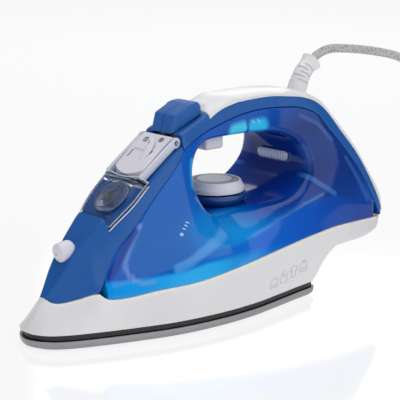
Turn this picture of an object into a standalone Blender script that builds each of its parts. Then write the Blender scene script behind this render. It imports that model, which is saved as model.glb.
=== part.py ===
"""Steam iron with a fill door, two pump buttons, a steam slider, a thermostat dial and a mains cord.

Sizes are in millimetres and become metres in the meshes. The nose points to -X, the heel to +X and
+Z is up. The origin is under the middle of the iron, on the surface that it stands on.
"""

import bisect
import math

import bmesh
import bpy
from mathutils import Matrix, Vector

MM = 0.001
GAP = 0.3  # between pieces that touch
WALL = 2.2  # moulded plastic

# Driving dimensions
NOSE_X, HEEL_X = -146.0, 146.0
SOLE_HEEL = 83.0  # where the soleplate ends
SOLE_TOP, CASTING_TOP, CHAMBER_TOP = 6.2, 16.0, 17.8
SKIRT_FOOT = 10.3
HEEL_SEAM = 111.0
DECK_Z = 71.5  # floor of the hand opening
DOOR_FOOT, DOOR_DEPTH, DOOR_HALF = -90.5, 8.3, 15.0
WINDOW_END = -60.0
PIVOT, PIVOT_R = (-31.5, 0.0, 121.8), 3.8
BUTTON_FRONT, BUTTON_REAR, BUTTON_HALF, BUTTON_TRAVEL = -30.0, -1.5, 11.0, 3.5
PUMP_X, PUMP_Y, PUMP_R = -22.0, 6.0, 4.6
PUMP_FOOT, PUMP_FLOOR, PUMP_TOP = 113.0, 116.0, 123.0
PLUNGER_TOP, PLUNGER_R = 129.4, 1.8
INSERT_FRONT, INSERT_REAR = -0.5, 93.0
DIAL_X, DIAL_R, DIAL_Z = 20.0, 21.0, 80.0
BODY_REACH = 80.0  # cutters across the body run this far each side
SCREW_BORE_R = 2.0
REAR_SCREW_PLACE, REAR_SCREW_OUT = (134.6, 0.0, 84.3), (0.89, 0.0, 0.456)
VALVE_X = -46.0
FILLER_X, FILLER_R = -72.0, 7.0
CORD_R = 3.25
BOOT_ROUTE = ((98.4, 133.0), (101.3, 140.0), (104.6, 148.0), (109.6, 155.2), (117.4, 161.4))
COIL_CENTRE, COIL_R, COIL_COLUMNS, COIL_LAYERS = (222.75, -75.0), 36.0, 2, 3
PLUG_START, PLUG_LENGTH, PLUG_R, PLUG_TILT = (189.2, -114.25, 6.2), 60.0, 18.5, 16.6
PIN_LENGTH, PIN_R, PIN_SPACING = 19.0, 2.4, 19.0
REAR_STATIONS = (94, 97.5, 101, 105, 112.5, 122, 134)

# The free cord from the boot to its coil, by hand: over, down behind the heel and along the floor
CORD_ROUTE = (
    (117.8, 0, 161.7), (122.5, 0, 164.9), (128.5, 0, 167.2), (135, 0, 168.3), (142.4, 0, 168.4),
    (159, 0, 166.6), (175, 0, 164.3), (187.6, 0, 162), (203, 0, 158.8), (217.2, 0, 154.6), (232, -1, 148),
    (245, -2.5, 138), (255, -4.5, 124), (260.5, -6, 106), (262.5, -7.5, 87), (263, -8.5, 68),
    (262.8, -10, 50), (262.5, -14, 33), (262.2, -22, 17), (262, -33, 7.2), (262, -44, 3.8), (262, -51.6, 3.4),
)
TAIL_ROUTE = ((199.6, -114.25, 3.4), (195, -114.25, 4.2), (189.5, -114.25, 6.0))


def rail(*points):
    """A smooth curve through (x, value) points that never overshoots them."""
    xs, ys = [p[0] for p in points], [p[1] for p in points]
    slopes = [(ys[i + 1] - ys[i]) / (xs[i + 1] - xs[i]) for i in range(len(xs) - 1)]
    tangents = [slopes[0]]
    for before, after in zip(slopes, slopes[1:]):
        same_way = before * after > 0
        tangents.append(2 * before * after / (before + after) if same_way else 0.0)
    tangents.append(slopes[-1])

    def value(x):
        x = min(max(x, xs[0]), xs[-1])
        i = min(max(bisect.bisect_right(xs, x) - 1, 0), len(xs) - 2)
        span = xs[i + 1] - xs[i]
        t = (x - xs[i]) / span
        rise = (2 * t**3 - 3 * t**2 + 1) * ys[i] + (3 * t**2 - 2 * t**3) * ys[i + 1]
        lean = (t**3 - 2 * t**2 + t) * tangents[i] + (t**3 - t**2) * tangents[i + 1]
        return rise + span * lean

    return value


# Outlines along X: heights in the side view
sole_half = rail(
    (-146, 0.4), (-145.4, 4), (-144, 8), (-141, 14), (-136, 19), (-128, 24), (-110, 32), (-84, 41.5),
    (-57, 49.5), (-32, 53), (-12, 54), (8, 53.2), (38, 48.8), (60, 45), (78, 42), (82, 39), (83, 34),
)
seam_half = rail(
    (-132, 2.5), (-128, 8), (-123, 13), (-117, 17.5), (-105.5, 25.5), (-92, 32.5), (-69, 42), (-40, 50),
    (-12, 53), (8, 53.5), (39, 52.5), (69, 51), (98, 50), (128, 49), (146, 48),
)
seam = rail(
    (-132, 31), (-128, 27.7), (-117, 30.3), (-105.5, 33.7), (-102, 30.8), (-98, 29.1), (-92, 29.2),
    (-69, 32.2), (-40, 34.2), (-12, 37.8), (39, 44.5), (69, 47.7), (98, 49.8), (128, 49.5), (146, 48.6),
)
nose_edge = rail((-145, 10.3), (-132, 31))
crest = rail(
    (-132, 31), (-110, 60.5), (-90, 79.5), (-72, 95.5), (-54, 110.5), (-34, 124.5), (-30, 126.5), (-2, 138),
    (2, 141.5), (10, 144.5), (23, 148), (51, 148.4), (77, 146.8), (94, 142.8), (104, 136), (112.5, 121.7),
    (125.6, 102.4), (134, 85.6), (143, 66), (146, 53),
)
nose_foot = rail(
    (-105.5, 33.7), (-101.8, 39.3), (-90.6, 58), (-78.8, 69.7), (-59, 89.2), (-43.7, 102.1), (-27, 116.5),
)
band_foot = rail(
    (-27, 116.5), (-24, 118.5), (-3, 126.5), (18, 132), (33, 134.7), (51, 135.9), (76, 134.8), (90, 131),
    (96, 127), (101, 118.5), (122.4, 88.3), (135.3, 63.9), (142, 49.6),
)
band_top = rail(
    (-0.5, 134), (7.5, 138.2), (16.6, 141), (34.7, 143.6), (53, 144), (75, 142.1), (94, 137.6), (104, 130.8),
    (112.5, 116), (125.6, 96.6), (134, 79.5), (143, 57.5), (144.5, 52.5),
)
under = rail((81, 10.3), (85, 20), (92, 29), (100, 33.3), (126, 34.3), (139, 38), (146, 43))

# Half-widths of the body at shares of the height between seam and crest
sides = (
    (0.0, seam_half),
    (0.16, rail((-132, 3), (-117, 17), (-105, 24.5), (-91, 31.5), (-69, 40), (-40, 47.5), (-12, 49), (8, 46),
                (39, 48), (69, 47.5), (98, 48), (128, 48.5), (146, 48))),
    (0.33, rail((-132, 3), (-117, 15.5), (-105, 22), (-91, 28.5), (-69, 36), (-40, 42), (-22, 40), (-6, 31),
                (8, 24.5), (24, 26), (39, 31), (56, 37), (69, 40), (98, 44), (128, 47), (146, 48))),
    (0.66, rail((-132, 3), (-117, 12.5), (-105, 17.5), (-91, 22.5), (-69, 28), (-40, 30), (-22, 27), (0, 19.5),
                (39, 19), (58, 23), (69, 27), (88, 33), (98, 36), (128, 44), (146, 48))),
    (1.0, rail((-132, 3), (-117, 8), (-105, 10.5), (-91, 14), (-72, 21), (-48, 20), (-30, 18.5), (-10, 17),
               (39, 17.5), (69, 18.5), (94, 20.5), (104, 23), (112.5, 31), (125.6, 37), (134, 42), (146, 48))),
)
crown_height = rail(
    (-132, 0.8), (-95, 1.2), (-86, 6), (-72, 8), (-50, 8), (-30, 3), (-4, 3), (6, 5), (80, 5), (104, 1.2),
)
crown_flat = rail(
    (-132, 0.9), (-95, 0.85), (-80, 0.45), (-50, 0.5), (-30, 0.8), (-4, 0.7), (8, 0.2), (80, 0.2), (104, 0.9),
)

tunnel_outline = (
    (-14, 74), (-20, 80), (-23.5, 90), (-22.5, 100), (-17.5, 110), (-9, 117), (2, 120), (25, 120.2),
    (50, 119.3), (64, 117), (74, 111), (79, 101), (78.5, 91), (71, 82), (60, 76), (46, 73), (20, DECK_Z),
    (0, DECK_Z),
)


def half_width(x, z):
    """The body's half-width at a place in the side view."""
    low, high = seam(x), crest(x)
    if z <= low:
        foot = sole_half(x) if x < SOLE_HEEL - 3 else sole_half(SOLE_HEEL - 3)
        share = (z - SKIRT_FOOT) / (low - SKIRT_FOOT)
        return foot + (seam_half(x) - foot) * min(max(share, 0.0), 1.0)
    share = min((z - low) / max(high - low, 1.0), 1.0)
    across = rail(*((height, width(x)) for height, width in sides))(share)
    drop = min(max((high - z) / crown_height(x), 0.0), 1.0)
    flat = crown_flat(x)
    return across * (flat + (1 - flat) * math.sqrt(1 - (1 - drop) ** 2))


def nose_half(x, z):
    """The skirt's half-width where the nose edge cuts it off."""
    if x >= -132:
        return half_width(x, z)
    tip = nose_edge(x)
    share = min(max((z - SKIRT_FOOT) / max(tip - SKIRT_FOOT, 0.5), 0.0), 1.0)
    return sole_half(x) + (2.2 - sole_half(x)) * share


finishes = {
    "white": ((0.80, 0.80, 0.81), 0.35, 0.0),
    "lilac": ((0.78, 0.77, 0.84), 0.4, 0.0),
    "blue": ((0.01, 0.10, 0.38), 0.35, 0.0),
    "button_blue": ((0.03, 0.12, 0.40), 0.45, 0.0),
    "tank_blue": ((0.01, 0.16, 0.65), 0.1, 0.0),
    "clear": ((0.75, 0.80, 0.88), 0.05, 0.0),
    "black": ((0.012, 0.012, 0.013), 0.5, 0.0),
    "steel": ((0.45, 0.45, 0.47), 0.3, 1.0),
    "aluminium": ((0.60, 0.60, 0.62), 0.45, 1.0),
    "brass": ((0.70, 0.50, 0.20), 0.3, 1.0),
    "rubber": ((0.35, 0.35, 0.36), 0.7, 0.0),
    "braid": ((0.62, 0.62, 0.64), 0.9, 0.0),
    "live": ((0.25, 0.10, 0.04), 0.5, 0.0),
    "neutral": ((0.05, 0.12, 0.45), 0.5, 0.0),
    "earth": ((0.10, 0.40, 0.08), 0.5, 0.0),
}


def material(finish):
    if finish in bpy.data.materials:
        return bpy.data.materials[finish]
    colour, roughness, metallic = finishes[finish]
    made = bpy.data.materials.new(finish)
    made.use_nodes = True
    shader = made.node_tree.nodes["Principled BSDF"]
    shader.inputs["Base Color"].default_value = (*colour, 1.0)
    shader.inputs["Roughness"].default_value = roughness
    shader.inputs["Metallic"].default_value = metallic
    return made


def add(name, bm, finish, origin=(0.0, 0.0, 0.0)):
    """Puts a millimetre bmesh into the scene as a named object whose origin is at the given point."""
    bmesh.ops.recalc_face_normals(bm, faces=bm.faces[:])
    bmesh.ops.translate(bm, vec=-Vector(origin), verts=bm.verts[:])
    bmesh.ops.scale(bm, vec=(MM, MM, MM), verts=bm.verts[:])
    mesh = bpy.data.meshes.new(name)
    bm.to_mesh(mesh)
    bm.free()
    mesh.shade_smooth()
    mesh.set_sharp_from_angle(angle=math.radians(35))
    mesh.materials.append(material(finish))
    made = bpy.data.objects.new(name, mesh)
    made.location = Vector(origin) * MM
    bpy.context.collection.objects.link(made)
    return made


def boolean(target, cutter, operation="DIFFERENCE"):
    cutter.hide_render = True
    cutter.display_type = "WIRE"
    cutter.hide_set(True)
    change = target.modifiers.new(cutter.name, "BOOLEAN")
    change.operation = operation
    change.object = cutter
    change.solver = "EXACT"


def loft(rings, bm=None):
    """A closed solid through rings that all have the same number of points."""
    bm = bm or bmesh.new()
    rows = [[bm.verts.new(point) for point in ring] for ring in rings]
    count = len(rings[0])
    for near, far in zip(rows, rows[1:]):
        for i in range(count):
            j = (i + 1) % count
            bm.faces.new((near[i], near[j], far[j], far[i]))
    bm.faces.new(rows[0][::-1])
    bm.faces.new(rows[-1])
    return bm


def slab(stations, low, high, inset=0.0, width=half_width, shares=(0, 0.3, 0.6, 0.85, 1)):
    """The body's cross-sections between two side-view lines, one at each station along X."""
    rings = []
    for x in stations:
        foot, top = low(x), high(x)
        heights = [foot + (top - foot) * share for share in shares]
        half = [max(width(x, z) - inset, 0.6) for z in heights]
        ring = [(x, -w, z) for w, z in zip(half, heights)]
        rings.append(ring + [(x, w, z) for w, z in zip(half[::-1], heights[::-1])])
    return loft(rings)


def between(start, end, count):
    return [start + (end - start) * i / (count - 1) for i in range(count)]


def box(centre, size, turn=0.0, bevel=0.0):
    """A block, turned about Y by degrees and with rounded edges."""
    bm = bmesh.new()
    bmesh.ops.create_cube(bm, size=1.0)
    bmesh.ops.scale(bm, vec=size, verts=bm.verts[:])
    if bevel:
        bmesh.ops.bevel(bm, geom=bm.edges[:], offset=bevel, segments=1, profile=0.5, affect="EDGES")
    spin = Matrix.Rotation(math.radians(turn), 3, "Y")
    bmesh.ops.rotate(bm, cent=(0, 0, 0), matrix=spin, verts=bm.verts[:])
    bmesh.ops.translate(bm, vec=centre, verts=bm.verts[:])
    return bm


def turned(profile, base=(0, 0, 0), axis=(0, 0, 1), segments=20):
    """A solid of revolution: (radius, height) points up its outside, from axis to axis or round a bore."""
    bm = bmesh.new()
    ring = [bm.verts.new((r, 0, h)) for r, h in profile]
    edges = [bm.edges.new(pair) for pair in zip(ring, ring[1:])]
    if profile[0][0] > 0:
        edges.append(bm.edges.new((ring[-1], ring[0])))
    bmesh.ops.spin(
        bm, geom=ring + edges, cent=(0, 0, 0), axis=(0, 0, 1), angle=2 * math.pi, steps=segments
    )
    bmesh.ops.remove_doubles(bm, verts=bm.verts[:], dist=1e-4)
    turn = Vector((0, 0, 1)).rotation_difference(Vector(axis)).to_matrix()
    bmesh.ops.rotate(bm, cent=(0, 0, 0), matrix=turn, verts=bm.verts[:])
    bmesh.ops.translate(bm, vec=base, verts=bm.verts[:])
    return bm


def rod(start, end, radius, segments=16):
    along = Vector(end) - Vector(start)
    return turned([(0, 0), (radius, 0), (radius, along.length), (0, along.length)], start, along, segments)


def sleeve(start, end, outer, inner, segments=16):
    along = Vector(end) - Vector(start)
    length = along.length
    return turned([(inner, 0), (outer, 0), (outer, length), (inner, length)], start, along, segments)


def smooth_route(points, step):
    """Points about a step apart on a smooth curve through the given ones."""
    padded = [points[0], *points, points[-1]]
    route = []
    for a, b, c, d in zip(padded, padded[1:], padded[2:], padded[3:]):
        a, b, c, d = Vector(a), Vector(b), Vector(c), Vector(d)
        count = max(1, round((c - b).length / step))
        for i in range(count):
            t = i / count
            route.append(0.5 * (2 * b + (c - a) * t + (2 * a - 5 * b + 4 * c - d) * t * t
                                + (3 * b - a - 3 * c + d) * t**3))
    return [*route, Vector(points[-1])]


def tube(name, points, radius, finish, step, resolution=2):
    curve = bpy.data.curves.new(name, "CURVE")
    curve.dimensions = "3D"
    curve.bevel_depth = radius * MM
    curve.bevel_resolution = resolution
    curve.use_fill_caps = True
    spline = curve.splines.new("POLY")
    route = smooth_route(points, step)
    spline.points.add(len(route) - 1)
    for point, place in zip(spline.points, route):
        point.co = (*(place * MM), 1.0)
    curve.materials.append(material(finish))
    made = bpy.data.objects.new(name, curve)
    bpy.context.collection.objects.link(made)
    return made


def sole_outline(inset):
    """The plan of the soleplate, nose first round the near side, drawn in by an inset."""
    xs = [-146, -145.4, -144, -141, -136, -128, -119, -110, -97, -84, -57, -32, -12, 8, 38, 60, 78, 82, 83]
    length = SOLE_HEEL - NOSE_X
    widest = sole_half(-12)
    start = NOSE_X + 1.4 * inset
    along = (length - 2.4 * inset) / length
    across = (widest - inset) / widest
    near = [Vector((start + (x - NOSE_X) * along, -sole_half(x) * across)) for x in xs]
    return near + [Vector((p.x, -p.y)) for p in near[::-1]]


def plate(layers):
    """A solid on the soleplate's plan through (height, inset) layers."""
    return loft([[(p.x, p.y, z) for p in sole_outline(inset)] for z, inset in layers])


def soleplate():
    sole = add("soleplate", plate([(0, 4.2), (1.2, 1.4), (3.2, 0.2), (SOLE_TOP, 0.2)]), "steel")
    paired = [(-110, 14), (-92, 22), (-72, 29), (-50, 35), (-26, 39), (-2, 40), (22, 38), (-78, 12), (-52, 17)]
    vents = [(-118, 0)] + [(x, side * y) for x, y in paired for side in (-1, 1)]
    vent_r, vent_depth = 1.6, 2.5
    holes = bmesh.new()
    for x, y in vents:
        bmesh.ops.create_cone(holes, cap_ends=True, segments=8, radius1=vent_r, radius2=vent_r,
                              depth=2 * vent_depth, matrix=Matrix.Translation((x, y, 0)))
    boolean(sole, add("steam_vent_cutter", holes, "steel"))


def base():
    soleplate()
    add("heater_casting", plate([(SOLE_TOP + GAP, 13), (CASTING_TOP - 3, 13), (CASTING_TOP, 15)]), "aluminium")
    element_r = 3.0
    element_z = CASTING_TOP + element_r + 0.4
    near = [(x, y, element_z) for x, y in ((70, -17), (20, -24), (-40, -20), (-80, -10))]
    far = [(x, -y, z) for x, y, z in near[::-1]]
    tube("heating_element", [*near, (-92, 0, element_z), *far], element_r, "steel", 16, 1)
    front, rear = -66, 2
    cover = slab(between(front, rear, 5), lambda x: CASTING_TOP + GAP, lambda x: CHAMBER_TOP,
                 width=lambda x, z: 7 + (x - front) * 0.06, shares=(0, 1))
    add("steam_chamber_cover", cover, "steel")
    band = add("heat_shield", plate([(SOLE_TOP + GAP, 1.6), (SKIRT_FOOT - GAP, 1.6)]), "black")
    boolean(band, add("heat_shield_cutter", plate([(3, 12), (14, 12)]), "black"))


def skirt():
    stations = [-144.8, -143.5, -141, -136.5, -132, -128, -123, -117, -111, -105.5, -102, -98, -92, -80, -69]
    stations += [-40, -12, 14, 39, 69, 81, 83, 85, 88, 92, 100, HEEL_SEAM - GAP / 2]

    def top(x):
        return (nose_edge(x) + 0.6) if x < -132 else seam(x)

    shell = add("base_skirt", slab(stations, under, top, width=nose_half, shares=(0, 0.4, 1)), "white")
    inner = [x for x in stations if -138 < x < HEEL_SEAM - 5] + [HEEL_SEAM - WALL]

    def floor(x):
        return SKIRT_FOOT - 4 if x < 80 else under(x) + WALL

    hollow = slab(inner, floor, lambda x: top(x) + 4, inset=WALL, width=nose_half, shares=(0, 0.4, 1))
    boolean(shell, add("base_skirt_hollow", hollow, "white"))

    stations = [HEEL_SEAM + GAP / 2, 119, 128, 134, 139, 143, 146]
    heel = add("heel_cover", slab(stations, under, seam), "white")
    inner = [HEEL_SEAM - 2, 119, 128, 134, 139, HEEL_X - WALL]
    hollow = slab(inner, lambda x: under(x) + WALL, lambda x: seam(x) + 3, inset=WALL)
    boolean(heel, add("heel_cover_hollow", hollow, "white"))
    passage = box((HEEL_SEAM, 0, 42), (8, 30, 8))
    boolean(shell, add("lead_passage_cutter", passage, "white"))


def rounded(outline, count=3):
    """A closed side-view outline with points added on a smooth curve through its corners."""
    loop = []
    size = len(outline)
    for i in range(size):
        a, b, c, d = (Vector(outline[(i + k) % size]) for k in (-1, 0, 1, 2))
        for k in range(count):
            t = k / count
            loop.append(0.5 * (2 * b + (c - a) * t + (2 * a - 5 * b + 4 * c - d) * t * t
                               + (3 * b - a - 3 * c + d) * t**3))
    return loop


def prism(outline, half):
    """A side-view outline carried straight across the body."""
    return loft([[(p[0], y, p[1]) for p in outline] for y in (-half, half)])


def tunnel(grow=0.0):
    """The hand opening, or the same opening set out by a wall's thickness where grow is negative."""
    loop = rounded(tunnel_outline, 2)
    grown = []
    for before, here, after in zip(loop[-1:] + loop[:-1], loop, loop[1:] + loop[:1]):
        along = (after - before).normalized()
        grown.append(here + Vector((-along.y, along.x)) * grow)
    return prism(grown, BODY_REACH)


def pump_seat(side):
    """The hole that a pump body sits in."""
    place = (PUMP_X, side * PUMP_Y)
    return rod((*place, PUMP_FOOT - 0.5), (*place, PUMP_TOP + 7), PUMP_R + GAP)


def tank():
    stations = [-101.5, -97, -91, -80, -69, -54, -40, -27, -18, -9, 0, 10, 24, 39, 51, 60, 69, 78, 88]
    stations += [*REAR_STATIONS, 136.5]
    shares = (0, 0.16, 0.33, 0.55, 0.78, 1)

    def top(x):
        return (nose_foot(x) if x < -27 else band_foot(x)) - GAP

    shell = add("water_tank", slab(stations, lambda x: seam(x) + GAP, top, shares=shares), "tank_blue")
    inner = [-97.5] + [x for x in stations if -94 < x < 128] + [129.5]
    hollow = add("water_tank_hollow", slab(inner, lambda x: seam(x) + GAP + WALL, lambda x: top(x) - WALL * 1.3,
                                           inset=WALL, shares=shares), "tank_blue")
    boolean(hollow, add("hand_opening_wall", tunnel(-WALL), "tank_blue"))
    shaft_tube = rod((DIAL_X, 0, 20), (DIAL_X, 0, 90), 6.5)
    boolean(hollow, add("shaft_tube_wall", shaft_tube, "tank_blue"))
    boolean(shell, hollow)
    boolean(shell, add("hand_opening_cutter", tunnel(), "tank_blue"))
    bores = {
        "shaft": rod((DIAL_X, 0, 20), (DIAL_X, 0, 90), 4),
        "valve": rod((VALVE_X, 0, 20), (VALVE_X, 0, 110), 4.2),
        "filler": rod((FILLER_X, 0, 55), (FILLER_X, 0, 90), FILLER_R + 1),
        "pump_near": pump_seat(-1),
        "pump_far": pump_seat(1),
    }
    for name, bore in bores.items():
        boolean(shell, add(f"{name}_bore_cutter", bore, "tank_blue"))


def nose():
    front = [-132, -127, -122, -117, -111, -105.5, -102, -97, DOOR_FOOT - 0.1, DOOR_FOOT + 0.1]
    stations = front + [-84, -78, -72, -64, -54, -44, -36, PIVOT[0] + PIVOT_R + GAP]

    def top(x):
        return crest(x) - (DOOR_DEPTH if x > DOOR_FOOT else 0)

    def foot(x):
        return seam(x) + GAP if x < -105.5 else nose_foot(x)

    shell = add("nose_shell", slab(stations, foot, top), "blue")
    inner = [-126, -117, -108, -100, DOOR_FOOT, DOOR_FOOT + 0.1, -84, -72, -58, -44, -32]
    hollow = slab(inner, lambda x: foot(x) - 3, lambda x: top(x) - WALL, inset=WALL)
    boolean(shell, add("nose_shell_hollow", hollow, "blue"))
    bores = {
        "nozzle": rod((-120, 0, 57.8), (-100, 0, 61.3), 6.8),
        "funnel": rod((FILLER_X, 0, 70), (FILLER_X, 0, 110), FILLER_R + 0.4),
        "rod": rod((VALVE_X, 0, 90), (VALVE_X, 0, 130), 2.6),
    }
    for name, bore in bores.items():
        boolean(shell, add(f"{name}_hole_cutter", bore, "blue"))


def handle():
    """The blue band over both columns, the white insert on top and the white plate down the rear."""
    start = PIVOT[0] + PIVOT_R + 2 * GAP
    step = INSERT_FRONT - GAP
    stations = [start, -20, -12, -6, step - 0.2, step, 8, 17, 26, 39, 52, 66, 78, 88]
    stations += [*REAR_STATIONS, 139, 143, 144]

    def top(x):
        return crest(x) if x < step - 0.1 else band_top(x)

    band = add("handle_band", slab(stations, band_foot, top), "blue")
    inner = [4] + [x for x in stations if 5 < x < 140] + [141]
    hollow = slab(inner, lambda x: band_foot(x) - 3, lambda x: top(x) + 3, inset=WALL)
    boolean(band, add("handle_band_hollow", hollow, "blue"))
    front, rear, above = BUTTON_FRONT - 1, BUTTON_REAR + 0.6, 150
    outline = (
        (front, crest(BUTTON_FRONT) - 5.5), (rear, crest(BUTTON_REAR) - 6), (rear, above), (front, above),
    )
    boolean(band, add("button_well_cutter", prism(outline, BUTTON_HALF + GAP), "blue"))
    for name, side in (("near", -1), ("far", 1)):
        boolean(band, add(f"pump_seat_cutter_{name}", pump_seat(side), "blue"))

    stations = [INSERT_FRONT, 4, 10, 17, 24, 36, 48, 60, 72, 84, INSERT_REAR]
    body = slab(stations, lambda x: band_top(x) + GAP, crest, shares=(0, 0.4, 0.7, 0.9, 1))
    insert = add("handle_insert", body, "white")
    inner = [INSERT_FRONT + WALL] + stations[2:-1] + [INSERT_REAR - WALL]
    hollow = slab(inner, lambda x: band_top(x) - 2, lambda x: crest(x) - WALL, inset=WALL,
                  shares=(0, 0.5, 0.8, 1))
    boolean(insert, add("handle_insert_hollow", hollow, "white"))

    stations = [INSERT_REAR + GAP, *REAR_STATIONS, 139, 143, HEEL_X]
    rear = add("rear_cover", slab(stations, lambda x: max(band_top(x), seam(x)) + GAP, crest), "white")
    inner = [INSERT_REAR + GAP + WALL, 98, 104, 108, 112.5, 119, 125.6, 134, 138]
    hollow = slab(inner, lambda x: band_top(x) - 2, lambda x: crest(x) - WALL * 1.6, inset=WALL)
    boolean(rear, add("rear_cover_hollow", hollow, "white"))
    foot, knee = ((x, 0, z) for x, z in BOOT_ROUTE[:2])
    boolean(rear, add("boot_bore_cutter", rod(foot, Vector(knee) * 2 - Vector(foot), 7.1), "white"))
    boolean(rear, add("rear_screw_bore", rod(*rear_screw_ends(), SCREW_BORE_R, 12), "white"))


def hinge_point(side, reach):
    """A point on the door's hinge axis, a reach outside the door's side."""
    return (PIVOT[0], side * (DOOR_HALF + reach), PIVOT[2])


def door():
    """The clear fill door: a window over the filler and an arm each side up to the hinge."""
    stations = [DOOR_FOOT + GAP, -87, -84, -78, -72, -66, WINDOW_END]
    wall = 2.0
    window = slab(stations, lambda x: crest(x) - DOOR_DEPTH + GAP, crest, shares=(0, 0.3, 0.55, 0.75, 0.9, 1))
    cover = add("filler_door", window, "clear", PIVOT)
    hollow = slab([-88.4, -84, -78, -72, -66, WINDOW_END + wall], lambda x: crest(x) - DOOR_DEPTH - 3,
                  lambda x: crest(x) - wall, inset=wall, shares=(0, 0.3, 0.6, 0.85, 1))
    boolean(cover, add("filler_door_hollow", hollow, "clear"))
    arm_x = (WINDOW_END + PIVOT[0]) / 2 - 1.5
    start_z = crest(WINDOW_END) - 3.6
    arm_z = (start_z + PIVOT[2]) / 2 - 0.5
    slope = math.degrees(math.atan2(PIVOT[2] - start_z, PIVOT[0] - WINDOW_END))
    for name, side in (("near", -1), ("far", 1)):
        arm = box((arm_x, side * (DOOR_HALF + 1.6), arm_z), (36.5, 2.6, 5.6), -slope)
        boolean(cover, add(f"door_arm_{name}", arm, "clear"), "UNION")
        eye = rod(hinge_point(side, 0.3), hinge_point(side, 2.9), PIVOT_R)
        boolean(cover, add(f"door_eye_{name}", eye, "clear"), "UNION")
        add(f"door_pin_{name}", rod(hinge_point(side, -1.7), hinge_point(side, 4.0), 1.4), "steel")
    pin_bore = rod((PIVOT[0], -2 * DOOR_HALF, PIVOT[2]), (PIVOT[0], 2 * DOOR_HALF, PIVOT[2]), 1.7)
    boolean(cover, add("door_pin_bore", pin_bore, "clear"))


def steam_controls():
    stations = [WINDOW_END + 2 + GAP, -52, -46, -40, -34, BUTTON_FRONT - 1.2 - GAP]
    plate_slab = slab(stations, lambda x: crest(x) - DOOR_DEPTH + GAP, lambda x: crest(x) - 0.4,
                      width=lambda x, z: min(half_width(x, z), DOOR_HALF - 0.6))
    surface = add("slider_plate", plate_slab, "lilac")
    under_side = slab([-56, -46, BUTTON_FRONT - 3.5], lambda x: crest(x) - DOOR_DEPTH - 2,
                      lambda x: crest(x) - 3.4, width=lambda x, z: 11, shares=(0, 1))
    boolean(surface, add("slider_plate_hollow", under_side, "lilac"))
    for name, side in (("near", -1), ("far", 1)):
        bore = rod(hinge_point(side, -2.1), hinge_point(side, 5), 1.6, 12)
        boolean(surface, add(f"hinge_pin_bore_{name}", bore, "lilac"))
    top = crest(VALVE_X)
    boolean(surface, add("slider_slot_cutter", box((VALVE_X, 0, top), (3.2, 17, 14)), "lilac"))
    slider(top)
    add("steam_valve_rod", rod((VALVE_X, 0, 23), (VALVE_X, 0, top - DOOR_DEPTH - 0.6), 1.5, 12), "steel")
    seat = sleeve((VALVE_X, 0, CHAMBER_TOP + GAP), (VALVE_X, 0, seam(VALVE_X) + 1), 3.8, 1.9, 12)
    add("steam_valve_seat", seat, "brass")


def slider(top):
    """The fin that slides across the plate, with its stem down through the slot."""
    fin = loft([[(VALVE_X + dx, -5 + dy, top + dz) for dx, dy, dz in ring] for ring in (
        ((-7, -1, -5.6), (-7, 1, -5.6), (-7, 1, -5.0), (-7, -1, -5.0)),
        ((-1, -3, -0.2), (-1, 3, -0.2), (-1, 1.6, 2.8), (-1, -1.6, 2.8)),
        ((6, -1, 5.0), (6, 1, 5.0), (6, 0.6, 5.8), (6, -0.6, 5.8)),
    )])
    made = add("steam_slider", fin, "lilac")
    boolean(made, add("slider_stem", box((VALVE_X, -5, top - 2.4), (2.4, 4, 7)), "lilac"), "UNION")


def water_entry():
    throat_r, bore = 5.0, FILLER_R - 1.2
    wall = [(throat_r, 64), (throat_r + 1.2, 64), (FILLER_R, 67), (FILLER_R, 80), (bore, 80), (bore, 67.5)]
    add("filler_funnel", turned(wall, (FILLER_X, 0, 0)), "clear")


def spray_head():
    nozzle = turned([(0, -10), (2.2, -10), (2.2, -1), (5.6, 0), (6.4, 3), (6.4, 9), (5.2, 12), (0, 12.4)],
                    (-108.2, 0, 59.9), (-0.985, 0, -0.17))
    add("spray_nozzle", nozzle, "lilac")
    collar = sleeve((-104.0, 0, 60.6), (-97, 0, 61.8), 3.6, 2.6, 14)
    add("nozzle_bush", collar, "rubber")


def buttons():
    for action, side in (("spray", 1), ("steam_boost", -1)):
        place = (PUMP_X, side * PUMP_Y)
        foot_front, foot_rear = crest(BUTTON_FRONT) + 0.4, crest(BUTTON_REAR) + 0.2
        rings = []
        for reach, shrink in ((GAP / 2, 0.0), (7.0, 0.0), (9.6, 1.2), (BUTTON_HALF, 4.0)):
            front, rear, droop = BUTTON_FRONT + shrink, BUTTON_REAR - shrink, shrink * 0.3
            outline = ((front, foot_front + shrink * 0.4), (rear, foot_rear - shrink * 0.4),
                       (rear - 0.3, 143.2 - droop), (rear - 3, 146.2 - droop), (rear - 9, 145.6 - droop),
                       (front + 9, 140.2 - droop), (front + 3.6, 139.4 - droop))
            rings.append([(x, side * reach, z) for x, z in outline])
        cap = add(f"{action}_button", loft(rings), "button_blue")
        soft = cap.modifiers.new("soft_edges", "BEVEL")
        soft.width = 0.5 * MM
        soft.segments = 1
        foot = PUMP_FLOOR + BUTTON_TRAVEL + GAP
        add(f"{action}_plunger", rod((*place, foot), (*place, PLUNGER_TOP), PLUNGER_R, 12), "lilac")
        bore = PLUNGER_R + GAP
        cup = [(0, PUMP_FOOT), (PUMP_R, PUMP_FOOT), (PUMP_R, PUMP_TOP), (bore, PUMP_TOP), (bore, PUMP_FLOOR),
               (0, PUMP_FLOOR)]
        add(f"{action}_pump", turned(cup, (*place, 0), segments=16), "lilac")
        spring(f"{action}_spring", place, PUMP_TOP + 0.9, PLUNGER_TOP - 0.8)


def spring(name, place, low, high, turns=4, per_turn=8, radius=3.1):
    coil = []
    for i in range(turns * per_turn + 1):
        angle = 2 * math.pi * i / per_turn
        height = low + (high - low) * i / (turns * per_turn)
        coil.append((place[0] + radius * math.cos(angle), place[1] + radius * math.sin(angle), height))
    tube(name, coil, 0.4, "steel", 5, 0)


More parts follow.
